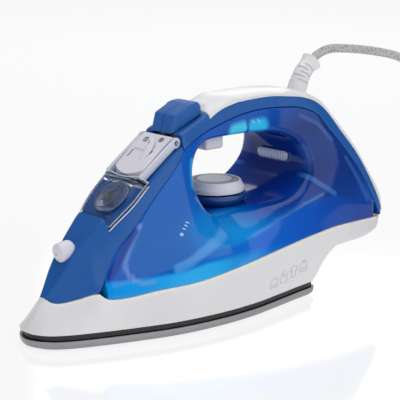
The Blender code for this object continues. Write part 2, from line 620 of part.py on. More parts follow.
def dial():
    centre = (DIAL_X, 0, 0)
    profile = [(0, 80.2), (17, 80.2), (20.6, 79.2), (DIAL_R, 80.2), (DIAL_R, 82.6), (18.6, 87.2), (17.4, 87.4),
               (17.2, 86.6), (0, 86.6)]
    axis_point = (DIAL_X, 0, DIAL_Z)
    knob = add("temperature_dial", turned(profile, centre, segments=32), "lilac", axis_point)
    boolean(knob, add("dial_socket_cutter", rod((DIAL_X, 0, 75), (DIAL_X, 0, 84), 3.1), "lilac"))
    disc = turned([(0, 86.9), (16.8, 86.9), (16.8, 87.5), (0, 88.0)], centre, segments=28)
    add("dial_disc", disc, "rubber", axis_point)
    rim = [(17.6, DECK_Z + GAP), (19.4, DECK_Z + GAP), (22.4, 76), (22.4, 78.7), (20.4, 78.7), (20.2, 76.4)]
    add("dial_collar", turned(rim, centre, segments=24), "tank_blue")
    add("thermostat_shaft", rod((DIAL_X, 0, 24.6), (DIAL_X, 0, 83.6), 2.6, 14), "brass", axis_point)
    add("thermostat", box((DIAL_X, 0, 20.2), (26, 16, 7.6), bevel=0.8), "aluminium")
    add("thermal_fuse", rod((46, -6, 19.2), (46, 12, 19.2), 2.6, 12), "lilac")


def lamp_and_catch():
    add("pilot_lens", box((78.0, 0, 97.5), (3.0, 30, 7.0), bevel=1.2), "clear")
    add("pilot_lamp", rod((83.6, -7, 97.5), (83.6, 7, 97.5), 2.6, 12), "brass")
    add("handle_catch", box((15, 0, 114.6), (17, 12, 9.8), bevel=1.5), "lilac")


def swept(route, radii, segments=16):
    """A round solid along a route in the plane Y = 0, with one radius at each of its points."""
    rings = []
    for i, (x, z) in enumerate(route):
        before, after = route[max(i - 1, 0)], route[min(i + 1, len(route) - 1)]
        along = Vector((after[0] - before[0], after[1] - before[1])).normalized()
        ring = []
        for k in range(segments):
            turn = 2 * math.pi * k / segments
            lift = radii[i] * math.cos(turn)
            ring.append((x - along.y * lift, radii[i] * math.sin(turn), z + along.x * lift))
        rings.append(ring)
    return loft(rings)


def cord_entry():
    route = smooth_route([(x, 0, z) for x, z in BOOT_ROUTE], 3)
    neck_end, bell_start = 0.2, 0.84
    radii = []
    for i in range(len(route)):
        share = i / (len(route) - 1)
        bell = 2.2 * max(0.0, share - bell_start) / (1 - bell_start)
        radii.append(5.6 if share < neck_end else 7.6 - 1.6 * share + bell)
    add("cord_boot", swept([(p.x, p.z) for p in route], radii), "white")
    add("cord_clamp", box((103, 0, 127.6), (5, 20, 3), bevel=0.5), "lilac")
    add("cord_clamp_anvil", box((103, 0, 121.5), (5, 20, 3), bevel=0.5), "lilac")


def cord():
    tube("cord_run", CORD_ROUTE, CORD_R, "braid", 17)
    tube("cord_tail", TAIL_ROUTE, CORD_R, "braid", 6)
    inner = COIL_R - COIL_COLUMNS * CORD_R
    outer = COIL_R + COIL_COLUMNS * CORD_R
    high = 2 * CORD_R * COIL_LAYERS
    soft = 2  # of the ring's corners
    ring = [(inner, soft), (inner + soft, 0), (outer - soft, 0), (outer, soft), (outer, high - soft),
            (outer - soft, high), (inner + soft, high), (inner, high - soft)]
    add("cord_coil", turned(ring, (*COIL_CENTRE, 0.1), segments=28), "braid")


def plug():
    tilt = math.radians(PLUG_TILT)
    along = Vector((-math.cos(tilt), 0, math.sin(tilt)))
    profile = [(0, 0), (4.6, 0), (5.6, 18), (9, 22), (12, 30), (17.5, 40), (PLUG_R, 42), (PLUG_R, 58),
               (17, PLUG_LENGTH), (0, PLUG_LENGTH)]
    add("plug_body", turned(profile, PLUG_START, along, 24), "white")
    face = Vector(PLUG_START) + along * (PLUG_LENGTH + GAP)
    for name, side in (("plug_pin_near", -1), ("plug_pin_far", 1)):
        foot = face + Vector((0, side * PIN_SPACING / 2, 0))
        add(name, rod(foot, foot + along * PIN_LENGTH, PIN_R, 12), "steel")


def electrics():
    add("terminal_block", box((125.8, 0, 91.2), (5.6, 30, 13), -27, 0.6), "lilac")
    for name, y, end_y in (("live", -9, -17), ("neutral", 9, 17)):
        route = [(129.4, y, 81), (134.6, y, 70), (138.6, y, 60), (139.4, y, 52), (134, y, 43.5), (122, y, 41.2),
                 (108, y, 41), (95, y, 37), (84, y * 1.3, 29), (77, end_y, 22), (71.4, end_y, 19.6)]
        tube(f"{name}_lead", route, 1.2, name, 9, 0)
    route = [(129.4, 3.5, 81), (134.6, 3.5, 70), (138.6, 3, 60), (139.4, 1, 52), (134, 0, 43.5), (122, 0, 41.2),
             (108, 0, 41), (95, 0, 36), (82, 0, 26), (72, 0, 19), (62, 0, 17.6)]
    tube("earth_lead", route, 1.2, "earth", 9, 0)
    route = [(-96.4, 1.2, 62.1), (-91, 6, 65.6), (-84, 11, 70.6), (-76, 12.6, 77.6), (-62, 12.6, 90),
             (-48, 11.5, 101.2), (-40, 10, 107.4), (-37, 9, 110.3)]
    tube("spray_hose", route, 1.6, "rubber", 9, 0)


def rear_screw_ends(outer=4.0, inner=8.0):
    """Points out and in along the rear screw's axis, square to the rear cover."""
    place, out = Vector(REAR_SCREW_PLACE), Vector(REAR_SCREW_OUT)
    return place + out * outer, place - out * inner


def fasteners():
    """Pan-head screws, drawn from the head up the shank."""
    screw = [(0, 0), (3.0, 0.3), (3.2, 1.7), (1.5, 1.8), (1.5, 8.4), (0, 9)]
    heel = bpy.data.objects["heel_cover"]
    for name, y in (("heel_screw_near", -24), ("heel_screw_far", 24)):
        boolean(heel, add(f"{name}_bore", rod((126, y, 30), (126, y, 40), SCREW_BORE_R, 12), "white"))
        add(name, turned(screw, (126, y, under(126) - 2.1), segments=12), "steel")
    casting = bpy.data.objects["heater_casting"]
    for name, x, y in (("base_screw_front", -104, 0), ("base_screw_near", 58, -27), ("base_screw_far", 58, 27)):
        boolean(casting, add(f"{name}_bore", rod((x, y, 9), (x, y, 20), SCREW_BORE_R, 12), "steel"))
        add(name, turned(screw, (x, y, CASTING_TOP + 2.4), (0, 0, -1), 12), "steel")
    head, tip = rear_screw_ends(2.6)
    add("rear_screw", turned(screw, head, tip - head, 12), "steel")


for old in list(bpy.data.objects):
    bpy.data.objects.remove(old, do_unlink=True)
base()
skirt()
tank()
nose()
handle()
door()
steam_controls()
water_entry()
spray_head()
buttons()
dial()
lamp_and_catch()
cord_entry()
cord()
plug()
electrics()
fasteners()
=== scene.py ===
# Steam iron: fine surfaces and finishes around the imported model. Sizes are in millimetres until a mesh is made.
import bisect
import functools
import math

import bmesh
import bpy
from mathutils import Matrix, Vector


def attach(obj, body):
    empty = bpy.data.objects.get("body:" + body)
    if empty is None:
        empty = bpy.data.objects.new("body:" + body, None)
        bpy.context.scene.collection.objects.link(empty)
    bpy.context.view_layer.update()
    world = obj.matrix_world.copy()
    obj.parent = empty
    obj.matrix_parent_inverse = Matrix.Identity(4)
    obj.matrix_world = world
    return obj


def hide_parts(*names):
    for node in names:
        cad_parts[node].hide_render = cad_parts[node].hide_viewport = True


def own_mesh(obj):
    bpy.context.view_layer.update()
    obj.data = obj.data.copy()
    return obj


mm = 0.001
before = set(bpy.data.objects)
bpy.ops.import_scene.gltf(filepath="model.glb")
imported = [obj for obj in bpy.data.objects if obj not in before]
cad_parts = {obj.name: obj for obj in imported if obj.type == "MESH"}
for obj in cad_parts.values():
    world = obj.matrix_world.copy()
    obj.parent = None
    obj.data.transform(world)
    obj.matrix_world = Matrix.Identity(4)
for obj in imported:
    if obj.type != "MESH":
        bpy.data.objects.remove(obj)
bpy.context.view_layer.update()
print("frame loaded:", len(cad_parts), "nodes")


# Camera, light and floor
studio = {
    "target": (6.25, 0.0, 74.1),
    "azimuth": -42.6,
    "elevation": 13.1,
    "distance": 1080.0,
    "lens": 139.2,
    "floorSize": 12.0,
    "floorGlow": 0.78,
    "world": (0.80, 0.81, 0.83),
    "worldStrength": 0.30,
    # name: place, aimed at, width, height, watts
    "lights": {
        "topSoftbox": ((0.1, 0.2, 1.5), (0, 0, 0.05), 1.6, 1.6, 13.5),
        "leftSoftbox": ((-1.3, -0.5, 0.7), (0, 0, 0.08), 1.4, 1.6, 4.0),
        "frontSoftbox": ((0.2, -1.6, 0.8), (0, 0, 0.08), 2.2, 1.0, 9.6),
        "rearSoftbox": ((1.2, 1.1, 0.9), (0, 0, 0.1), 0.9, 0.9, 5.0),
    },
}


def aimedAt(place, target):
    return (Vector(target) - Vector(place)).to_track_quat("-Z", "Y").to_euler()


def makeStudio():
    scene = bpy.context.scene
    scene.view_settings.view_transform = "Standard"
    turn, lift = math.radians(studio["azimuth"]), math.radians(studio["elevation"])
    back = Vector((math.sin(turn) * math.cos(lift), -math.cos(turn) * math.cos(lift), math.sin(lift)))
    target = Vector(studio["target"]) * mm
    camera = bpy.data.objects.new("camera", bpy.data.cameras.new("camera"))
    camera.data.lens = studio["lens"]
    camera.data.sensor_width = 36.0
    camera.location = target + back * studio["distance"] * mm
    camera.rotation_euler = aimedAt(camera.location, target)
    scene.collection.objects.link(camera)
    scene.camera = camera

    for name, (place, aim, width, height, watts) in studio["lights"].items():
        lamp = bpy.data.lights.new(name, "AREA")
        lamp.shape = "RECTANGLE"
        lamp.size = width
        lamp.size_y = height
        lamp.energy = watts
        made = bpy.data.objects.new(name, lamp)
        made.location = place
        made.rotation_euler = aimedAt(place, aim)
        scene.collection.objects.link(made)

    world = bpy.data.worlds.new("studio")
    world.use_nodes = True
    sky = world.node_tree.nodes["Background"]
    sky.inputs["Color"].default_value = (*studio["world"], 1.0)
    sky.inputs["Strength"].default_value = studio["worldStrength"]
    scene.world = world

    half = studio["floorSize"] / 2
    mesh = bpy.data.meshes.new("floor")
    mesh.from_pydata([(-half, -half, 0), (half, -half, 0), (half, half, 0), (-half, half, 0)], [], [(0, 1, 2, 3)])
    floor = bpy.data.objects.new("floor", mesh)
    floor.location.z = -0.0002
    scene.collection.objects.link(floor)
    paper = bpy.data.materials.new("floorPaper")
    paper.use_nodes = True
    shader = paper.node_tree.nodes["Principled BSDF"]
    shader.inputs["Base Color"].default_value = (0.16, 0.16, 0.162, 1)
    shader.inputs["Emission Color"].default_value = (1.0, 1.0, 1.0, 1)
    shader.inputs["Emission Strength"].default_value = studio["floorGlow"]
    shader.inputs["Roughness"].default_value = 0.09
    shader.inputs["Specular IOR Level"].default_value = 0.5
    mesh.materials.append(paper)


makeStudio()
print("studio ready")


# Finishes
class Tree:
    # short calls for adding nodes: _0 names an input by its number, Base_Color by its name
    def __init__(self, tree):
        self.tree = tree

    def add(self, kind, operation=None, **inputs):
        node = self.tree.nodes.new(kind)
        if operation:
            node.operation = operation
        for name, value in inputs.items():
            self.feed(node, name, value)
        return node

    def feed(self, node, name, value):
        socket = node.inputs[int(name[1:])] if name[0] == "_" else node.inputs[name.replace("_", " ")]
        if isinstance(value, bpy.types.NodeSocket):
            self.tree.links.new(value, socket)
        else:
            socket.default_value = value


class Nodes(Tree):
    # a material's tree, with the nodes that the finishes share
    def __init__(self, name):
        self.material = bpy.data.materials.new(name)
        self.material.use_nodes = True
        super().__init__(self.material.node_tree)
        self.shader = self.tree.nodes["Principled BSDF"]

    def place(self):
        return self.add("ShaderNodeTexCoord").outputs["Object"]

    def noise(self, scale, detail=3.0, roughness=0.5):
        made = self.add("ShaderNodeTexNoise", Vector=self.place(), Scale=scale, Detail=detail, Roughness=roughness)
        return made.outputs["Fac"]

    def spread(self, value, *limits):
        # carries a range of values, given as its two ends, over to another
        made = self.add("ShaderNodeMapRange", Value=value)
        for name, number in zip(("From Min", "From Max", "To Min", "To Max"), limits):
            made.inputs[name].default_value = number
        return made.outputs["Result"]

    def mixed(self, share, first, second):
        made = self.tree.nodes.new("ShaderNodeMix")
        made.data_type = "RGBA"
        for name, value in (("_0", share), ("_6", first), ("_7", second)):
            self.feed(made, name, value)
        return made.outputs[2]

    def attribute(self, name, output="Fac"):
        made = self.tree.nodes.new("ShaderNodeAttribute")
        made.attribute_name = name
        return made.outputs[output]

    def grain(self, height, depth, strength=1.0):
        made = self.add("ShaderNodeBump", Height=height, Distance=depth * mm, Strength=strength)
        self.feed(self.shader, "Normal", made.outputs["Normal"])

    def wear(self, value, roughness):
        # a sheen that wanders between two roughnesses
        return self.spread(value, 0.3, 0.7, *roughness)

    def set(self, **inputs):
        for name, value in inputs.items():
            self.feed(self.shader, name, value)
        return self.material


def shade(colour, factor):
    return (*(min(channel * factor, 1.0) for channel in colour[:3]), 1.0)


def moulded(name, colour, roughness, grain=2600.0, depth=0.012, mottle=0.04, **more):
    # moulded plastic: a fine spark-eroded grain, slight flow marks in the colour and a worn sheen
    made = Nodes(name)
    tint = made.mixed(made.noise(38.0, 4.0, 0.6), shade(colour, 1 - mottle), shade(colour, 1 + mottle))
    sheen = made.wear(made.noise(120.0, 5.0, 0.65), (roughness * 0.88, roughness * 1.12))
    made.grain(made.noise(grain, 2.0, 0.6), depth)
    return made.set(Base_Color=tint, Roughness=sheen, **more)


def metal(name, colour, roughness, scratch=(900.0, 60.0, 60.0), depth=0.006):
    # brushed or turned metal: stretched noise for the lay of the scratches, cloudier noise for handling marks
    made = Nodes(name)
    mapping = made.add("ShaderNodeMapping", Vector=made.place(), Scale=scratch)
    lay = made.add("ShaderNodeTexNoise", Vector=mapping.outputs["Vector"], Scale=1.0, Detail=4.0).outputs["Fac"]
    tint = made.mixed(made.noise(45.0, 4.0, 0.6), shade(colour, 0.92), shade(colour, 1.06))
    made.grain(lay, depth)
    return made.set(Base_Color=tint, Roughness=made.wear(lay, (roughness * 0.8, roughness * 1.25)), Metallic=1.0)


def clearPlastic(name, colour, roughness, bend):
    made = Nodes(name)
    sheen = made.spread(made.noise(70.0, 4.0, 0.6), 0.35, 0.75, roughness, roughness * 2.5)
    made.grain(made.noise(60.0, 2.0), 0.03)
    return made.set(Base_Color=colour, Roughness=sheen, Transmission_Weight=1.0, IOR=bend)


def ribbedLens():
    made = Nodes("ribbedLens")
    wave = made.add("ShaderNodeTexWave", Vector=made.place(), Scale=209.0, Distortion=0.6)
    wave.bands_direction = "Y"
    ribs = wave.outputs["Fac"]
    made.grain(ribs, 0.15)
    # pale on the ribs and dark blue between them: painted highlights and painted shade across the clear ribs
    return made.set(Base_Color=made.mixed(ribs, (0.22, 0.31, 0.56, 1), (0.72, 0.77, 0.90, 1)), Roughness=0.14,
                    Coat_Weight=0.6, Coat_Roughness=0.05)


finishes = {
    "white": moulded("whitePlastic", (0.78, 0.78, 0.80), 0.34, Coat_Weight=0.12, Coat_Roughness=0.2),
    "lilac": moulded("lilacPlastic", (0.72, 0.71, 0.80), 0.42, depth=0.02),
    "blue": moulded("bluePlastic", (0.004, 0.095, 0.37), 0.36, depth=0.014, Coat_Weight=0.08,
                     Coat_Roughness=0.2, Specular_IOR_Level=0.32),
    "button": moulded("buttonPlastic", (0.014, 0.11, 0.39), 0.5, depth=0.03, Specular_IOR_Level=0.35),
    "recess": moulded("recessPlastic", (0.006, 0.06, 0.26), 0.3, Coat_Weight=0.3),
    "black": moulded("shieldPlastic", (0.010, 0.010, 0.011), 0.45, depth=0.03),
    "dialGrey": moulded("dialGrey", (0.36, 0.37, 0.40), 0.4, depth=0.02),
    "mark": moulded("printGrey", (0.10, 0.10, 0.11), 0.5),
    "careMark": moulded("carePrint", (0.55, 0.55, 0.57), 0.5),
    "paleMark": moulded("paleMark", (0.62, 0.74, 0.92), 0.4),
    "clear": clearPlastic("clearPlastic", (0.95, 0.965, 0.99, 1), 0.015, 1.22),
    "lens": ribbedLens(),
    "smoky": clearPlastic("smokyPlastic", (0.62, 0.72, 0.84, 1), 0.03, 1.3),
    "frosted": moulded("frostedPlastic", (0.60, 0.63, 0.72), 0.16, Coat_Weight=0.6, Coat_Roughness=0.05),
    "dish": moulded("dishPlastic", (0.13, 0.22, 0.42), 0.14, Coat_Weight=0.6, Coat_Roughness=0.05),
    # pale glossy lines on the filler door's edges: a painted highlight
    "rim": moulded("rimGlintPlastic", (0.62, 0.66, 0.76), 0.12, Coat_Weight=0.8, Coat_Roughness=0.03),
    "steel": metal("soleSteel", (0.30, 0.30, 0.32), 0.34),
    "aluminium": metal("castAluminium", (0.55, 0.55, 0.57), 0.5, (300.0, 300.0, 300.0), 0.05),
    "brass": metal("turnedBrass", (0.62, 0.44, 0.17), 0.3, (60.0, 60.0, 2400.0)),
    "rubber": moulded("greyRubber", (0.16, 0.16, 0.17), 0.75, depth=0.05),
    "liveWire": moulded("brownWire", (0.16, 0.06, 0.025), 0.5),
    "neutralWire": moulded("blueWire", (0.02, 0.07, 0.38), 0.5),
    "earthWire": moulded("greenWire", (0.10, 0.34, 0.05), 0.5),
}
print("finishes ready")


# The body's outlines along X, shared by its shells
def clamped(share):
    return min(max(share, 0.0), 1.0)


def smoothLine(*points):
    # a curve through (x, value) points that never overshoots them
    xs, ys = [p[0] for p in points], [p[1] for p in points]
    slopes = [(ys[i + 1] - ys[i]) / (xs[i + 1] - xs[i]) for i in range(len(xs) - 1)]
    leans = [slopes[0]]
    for before, after in zip(slopes, slopes[1:]):
        leans.append(2 * before * after / (before + after) if before * after > 0 else 0.0)
    leans.append(slopes[-1])

    def value(x):
        x = min(max(x, xs[0]), xs[-1])
        i = min(max(bisect.bisect_right(xs, x) - 1, 0), len(xs) - 2)
        span = xs[i + 1] - xs[i]
        t = (x - xs[i]) / span
        rise = (2 * t**3 - 3 * t**2 + 1) * ys[i] + (3 * t**2 - 2 * t**3) * ys[i + 1]
        return rise + span * ((t**3 - 2 * t**2 + t) * leans[i] + (t**3 - t**2) * leans[i + 1])

    return value


body = {
    "soleHeel": 83.0,
    "skirtFoot": 10.3,
    "heelSeam": 111.0,
    "heel": 146.0,
    "gap": 0.3,
    "doorFoot": -90.5,
    "doorDepth": 8.3,
    "windowEnd": -60.0,
    "pivot": Vector((-31.5, 0.0, 121.8)),
    "insertFront": -0.5,
    "insertRear": 93.0,
    "noseTop": -132,
    "noseHalf": 2.2,
    "noseCorner": -105.5,
    "shellWall": 2.2,
}
soleHalf = smoothLine(
    (-146, 0.4), (-145.4, 4), (-144, 8), (-141, 14), (-136, 19), (-128, 24), (-110, 32), (-84, 41.5),
    (-57, 49.5), (-32, 53), (-12, 54), (8, 53.2), (38, 48.8), (60, 45), (78, 42), (82, 39), (83, 34),
)
seamHalf = smoothLine(
    (-132, 2.5), (-128, 8), (-123, 13), (-117, 17.5), (-105.5, 25.5), (-92, 32.5), (-69, 42), (-40, 50),
    (-12, 53), (8, 53.5), (39, 52.5), (69, 51), (98, 50), (128, 49), (146, 48),
)
seam = smoothLine(
    (-132, 31), (-128, 27.7), (-117, 30.3), (-105.5, 33.7), (-102, 30.8), (-98, 29.1), (-92, 29.2),
    (-69, 32.2), (-40, 34.2), (-12, 37.8), (39, 44.5), (69, 47.7), (98, 49.8), (128, 49.5), (146, 48.6),
)
noseEdge = smoothLine((-145, 10.3), (-132, 31))
crest = smoothLine(
    (-132, 31), (-110, 60.5), (-90, 79.5), (-72, 95.5), (-54, 110.5), (-34, 124.5), (-30, 126.5), (-2, 138),
    (2, 141.5), (10, 144.5), (23, 148), (51, 148.4), (77, 146.8), (94, 142.8), (104, 136), (112.5, 121.7),
    (125.6, 102.4), (134, 85.6), (143, 66), (146, 53),
)
noseFoot = smoothLine(
    (-105.5, 33.7), (-101.8, 39.3), (-90.6, 58), (-78.8, 69.7), (-59, 89.2), (-43.7, 102.1), (-27, 116.5),
)
bandFoot = smoothLine(
    (-27, 116.5), (-24, 118.5), (-3, 126.5), (18, 132), (33, 134.7), (51, 135.9), (76, 134.8), (90, 131),
    (96, 127), (101, 118.5), (122.4, 88.3), (135.3, 63.9), (142, 49.6),
)
bandTop = smoothLine(
    (-0.5, 134), (7.5, 138.2), (16.6, 141), (34.7, 143.6), (53, 144), (75, 142.1), (94, 137.6), (104, 130.8),
    (112.5, 116), (125.6, 96.6), (134, 79.5), (143, 57.5), (144.5, 52.5),
)
underside = smoothLine((81, 10.3), (85, 20), (92, 29), (100, 33.3), (126, 34.3), (139, 38), (146, 43))
sideWidths = (
    (0.0, seamHalf),
    (0.16, smoothLine((-132, 3), (-117, 17), (-105, 24.5), (-91, 31.5), (-69, 40), (-40, 47.5), (-12, 49), (8, 46),
                      (39, 48), (69, 47.5), (98, 48), (128, 48.5), (146, 48))),
    (0.33, smoothLine((-132, 3), (-117, 15.5), (-105, 22), (-91, 28.5), (-69, 36), (-40, 42), (-22, 40), (-6, 31),
                      (8, 24.5), (24, 26), (39, 31), (56, 37), (69, 40), (98, 44), (128, 47), (146, 48))),
    (0.66, smoothLine((-132, 3), (-117, 12.5), (-105, 17.5), (-91, 22.5), (-69, 28), (-40, 30), (-22, 27),
                      (0, 19.5), (39, 19), (58, 23), (69, 27), (88, 33), (98, 36), (128, 44), (146, 48))),
    (1.0, smoothLine((-132, 3), (-117, 8), (-105, 10.5), (-91, 14), (-72, 21), (-48, 20), (-30, 18.5), (-10, 17),
                     (39, 17.5), (69, 18.5), (94, 20.5), (104, 23), (112.5, 31), (125.6, 37), (134, 42), (146, 48))),
)
crownHeight = smoothLine(
    (-132, 0.8), (-95, 1.2), (-86, 6), (-72, 8), (-50, 8), (-30, 3), (-4, 3), (6, 5), (80, 5), (104, 1.2),
)
crownFlat = smoothLine(
    (-132, 0.9), (-95, 0.85), (-80, 0.45), (-50, 0.5), (-30, 0.8), (-4, 0.7), (8, 0.2), (80, 0.2), (104, 0.9),
)


@functools.lru_cache(maxsize=None)
def sectionAt(x):
    return smoothLine(*((height, width(x)) for height, width in sideWidths))


def halfWidth(x, z):
    low, high = seam(x), crest(x)
    if z <= low:
        foot = soleHalf(min(x, body["soleHeel"] - 3))
        share = (z - body["skirtFoot"]) / (low - body["skirtFoot"])
        return foot + (seamHalf(x) - foot) * clamped(share)
    share = min((z - low) / max(high - low, 1.0), 1.0)
    drop = clamped((high - z) / crownHeight(x))
    flat = crownFlat(x)
    return sectionAt(x)(share) * (flat + (1 - flat) * math.sqrt(1 - (1 - drop) ** 2))


def noseHalf(x, z):
    if x >= body["noseTop"]:
        return halfWidth(x, z)
    share = (z - body["skirtFoot"]) / max(noseEdge(x) - body["skirtFoot"], 0.5)
    return soleHalf(x) + (body["noseHalf"] - soleHalf(x)) * clamped(share)


# Mesh helpers
def steps(start, end, count):
    return [start + (end - start) * i / (count - 1) for i in range(count)]


def meshPiece(name, points, faces, finish, sharp=32.0, recalculate=True):
    mesh = bpy.data.meshes.new(name)
    mesh.from_pydata([tuple(value * mm for value in point) for point in points], [], faces)
    if recalculate:
        bm = bmesh.new()
        bm.from_mesh(mesh)
        bmesh.ops.recalc_face_normals(bm, faces=bm.faces[:])
        bm.to_mesh(mesh)
        bm.free()
    mesh.shade_smooth()
    mesh.set_sharp_from_angle(angle=math.radians(sharp))
    if finish:
        mesh.materials.append(finishes[finish] if isinstance(finish, str) else finish)
    made = bpy.data.objects.new(name, mesh)
    bpy.context.scene.collection.objects.link(made)
    return made


def lofted(name, rings, finish, sharp=32.0):
    return many(name, [rings], finish, sharp)


def softEdge(distance, radius):
    # how far a rounded edge draws a surface in, at a distance from the edge
    if distance >= radius:
        return 0.0
    return radius - math.sqrt(max(radius**2 - (radius - distance) ** 2, 0.0))


def sectionRings(stations, low, high, inset=0.0, rows=14, footRound=0.5, topRound=0.5, width=halfWidth, ends=(0, 0),
                 topPoints=0):
    # rings across the body between two side-view lines, with rounded long edges and rounded ends
    rings = []
    for x in stations:
        foot, top = low(x), high(x)
        most = max(top - foot, 0.05) * 0.45
        near = min(footRound(x) if callable(footRound) else footRound, most)
        far = min(topRound, most)
        crown = crownHeight(x) if top > crest(x) - 0.5 else 0.0
        heights = [foot + near * k for k in (0, 0.06, 0.22, 0.5, 1)]
        if crown:
            upper = [top - crown * (1 - math.sin(math.pi / 2 * k)) for k in (0, 0.25, 0.5, 0.75, 0.9, 1)]
        else:
            upper = [top - far * k for k in (1, 0.6, 0.32, 0.14, 0.04, 0)]
        heights += steps(heights[-1], max(upper[0], heights[-1]), rows)[1:-1] + upper
        drawn = softEdge(x - stations[0], ends[0]) + softEdge(stations[-1] - x, ends[1])
        half = []
        for z in heights:
            w = width(x, z) - inset - drawn
            w -= softEdge(z - foot, near) + (0 if crown else softEdge(top - z, far))
            half.append(max(w, 0.4))
        ring = [(x, -w, z) for w, z in zip(half, heights)]
        ring += [(x, half[-1] * share, heights[-1]) for share in steps(-1, 1, topPoints + 2)[1:-1]]
        rings.append(ring + [(x, w, z) for w, z in zip(half[::-1], heights[::-1])])
    return rings


def combine(target, other, operation):
    change = target.modifiers.new("combine", "BOOLEAN")
    change.operation = operation
    change.object = other
    change.solver = "EXACT"
    settle(target)
    bpy.data.objects.remove(other)


def cutAway(target, cutter):
    combine(target, cutter, "DIFFERENCE")


def hollow(target, stations, low, high, **more):
    # cuts the inside out of a shell, between two lines of the side view
    cutAway(target, lofted("inside", sectionRings(stations, low, high, **more), None))


def bore(target, start, end, radius):
    cutAway(target, lofted("bore", rodRings(start, end, radius), None))


def joinTo(target, other):
    combine(target, other, "UNION")


def settle(piece, sharp=32.0):
    # turns the modifiers' result into the piece's own plain mesh
    graph = bpy.context.evaluated_depsgraph_get()
    plain = bpy.data.meshes.new_from_object(piece.evaluated_get(graph), depsgraph=graph)
    piece.modifiers.clear()
    piece.data = plain
    plain.shade_smooth()
    plain.set_sharp_from_angle(angle=math.radians(sharp))


def turnedRings(profile, base=(0, 0, 0), axis=(0, 0, 1), segments=64):
    turn = Vector((0, 0, 1)).rotation_difference(Vector(axis)).to_matrix()
    rings = []
    for radius, height in profile:
        ring = []
        for i in range(segments):
            angle = 2 * math.pi * i / segments
            point = turn @ Vector((radius * math.cos(angle), radius * math.sin(angle), height))
            ring.append(tuple(point + Vector(base)))
        rings.append(ring)
    return rings


def turned(name, profile, finish, base=(0, 0, 0), axis=(0, 0, 1), segments=64, sharp=32.0):
    return lofted(name, turnedRings(profile, base, axis, segments), finish, sharp)


def arc(centre, radius, start, end, count):
    # (radius, height) points round a corner of a turned profile, angles in degrees
    return [(centre[0] + radius * math.cos(math.radians(a)), centre[1] + radius * math.sin(math.radians(a)))
            for a in steps(start, end, count)]


def between(a, b, c, d, t):
    # a point of a smooth curve from b to c, which looks back to a and ahead to d
    return 0.5 * (2 * b + (c - a) * t + (2 * a - 5 * b + 4 * c - d) * t * t + (3 * b - a - 3 * c + d) * t**3)


def smoothRoute(points, step):
    padded = [Vector(p) for p in (points[0], *points, points[-1])]
    route = []
    for a, b, c, d in zip(padded, padded[1:], padded[2:], padded[3:]):
        count = max(1, round((c - b).length / step))
        route += [between(a, b, c, d, i / count) for i in range(count)]
    return [*route, padded[-1]]


def sweptRings(route, radii, segments=24):
    # rings square to a route, carried along it without twisting
    rings = []
    along = (route[1] - route[0]).normalized()
    side = along.orthogonal().normalized()
    for i, place in enumerate(route):
        ahead = (route[min(i + 1, len(route) - 1)] - route[max(i - 1, 0)]).normalized()
        side = (along.rotation_difference(ahead) @ side).normalized()
        along = ahead
        other = along.cross(side)
        rings.append([tuple(place + (side * math.cos(turn) + other * math.sin(turn)) * radii[i])
                      for turn in (2 * math.pi * k / segments for k in range(segments))])
    return rings


def block(name, centre, size, finish, turn=0.0, bevel=0.6, segments=3):
    bm = bmesh.new()
    bmesh.ops.create_cube(bm, size=1.0)
    bmesh.ops.scale(bm, vec=size, verts=bm.verts[:])
    bmesh.ops.bevel(bm, geom=bm.edges[:], offset=bevel, segments=segments, profile=0.5, affect="EDGES")
    bmesh.ops.rotate(bm, cent=(0, 0, 0), matrix=Matrix.Rotation(math.radians(turn), 3, "Y"), verts=bm.verts[:])
    bmesh.ops.translate(bm, vec=centre, verts=bm.verts[:])
    points = [tuple(v.co) for v in bm.verts]
    faces = [tuple(v.index for v in f.verts) for f in bm.faces]
    bm.free()
    return meshPiece(name, points, faces, finish)


def fix(piece, bodyName, slot, *nodes):
    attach(piece, bodyName)
    if nodes:
        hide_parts(*nodes)
    return piece


def many(name, parts, finish, sharp=32.0):
    # one piece from several closed skins, each a list of rings
    points, faces = [], []
    for rings in parts:
        start, count = len(points), len(rings[0])
        points += [point for ring in rings for point in ring]
        for row in range(len(rings) - 1):
            for i in range(count):
                j = (i + 1) % count
                a, b = start + row * count, start + (row + 1) * count
                faces.append((a + i, a + j, b + j, b + i))
        faces.append(tuple(start + i for i in range(count))[::-1])
        faces.append(tuple(start + (len(rings) - 1) * count + i for i in range(count)))
    return meshPiece(name, points, faces, finish, sharp)


def lines(name, routes, finish, radius=0.28, segments=6):
    # raised print or moulded lines along routes of points
    return many(name, [sweptRings([Vector(p) for p in route], [radius] * len(route), segments) for route in routes],
                finish, 60.0)


def rodRings(start, end, radius, segments=32):
    along = Vector(end) - Vector(start)
    return turnedRings([(radius, 0), (radius, along.length)], start, along, segments)


def prismRings(outline, half):
    return [[(x, y, z) for x, z in outline] for y in (-half, half)]


def paint(piece, attribute, value):
    # a value at each vertex, worked out from its place in millimetres
    layer = piece.data.attributes.new(attribute, "FLOAT", "POINT")
    for vertex, item in zip(piece.data.vertices, layer.data):
        item.value = value(*(v / mm for v in vertex.co))


def crownZ(x, y):
    # height of the crowned top surface at a place in plan
    high, low = crest(x), crest(x) - crownHeight(x)
    for _ in range(24):
        middle = (high + low) / 2
        if halfWidth(x, middle) > abs(y):
            low = middle
        else:
            high = middle
    return low


def onCrown(name, routes, lift, radius):
    # print along routes in plan, laid on the crowned top
    return lines(name, [[(x, y, crownZ(x, y) + lift) for x, y in route] for route in routes], "mark", radius)


def stationsBetween(start, end, step, extra=()):
    count = max(2, round((end - start) / step) + 1)
    return sorted({*(round(x, 3) for x in steps(start, end, count)), *extra})


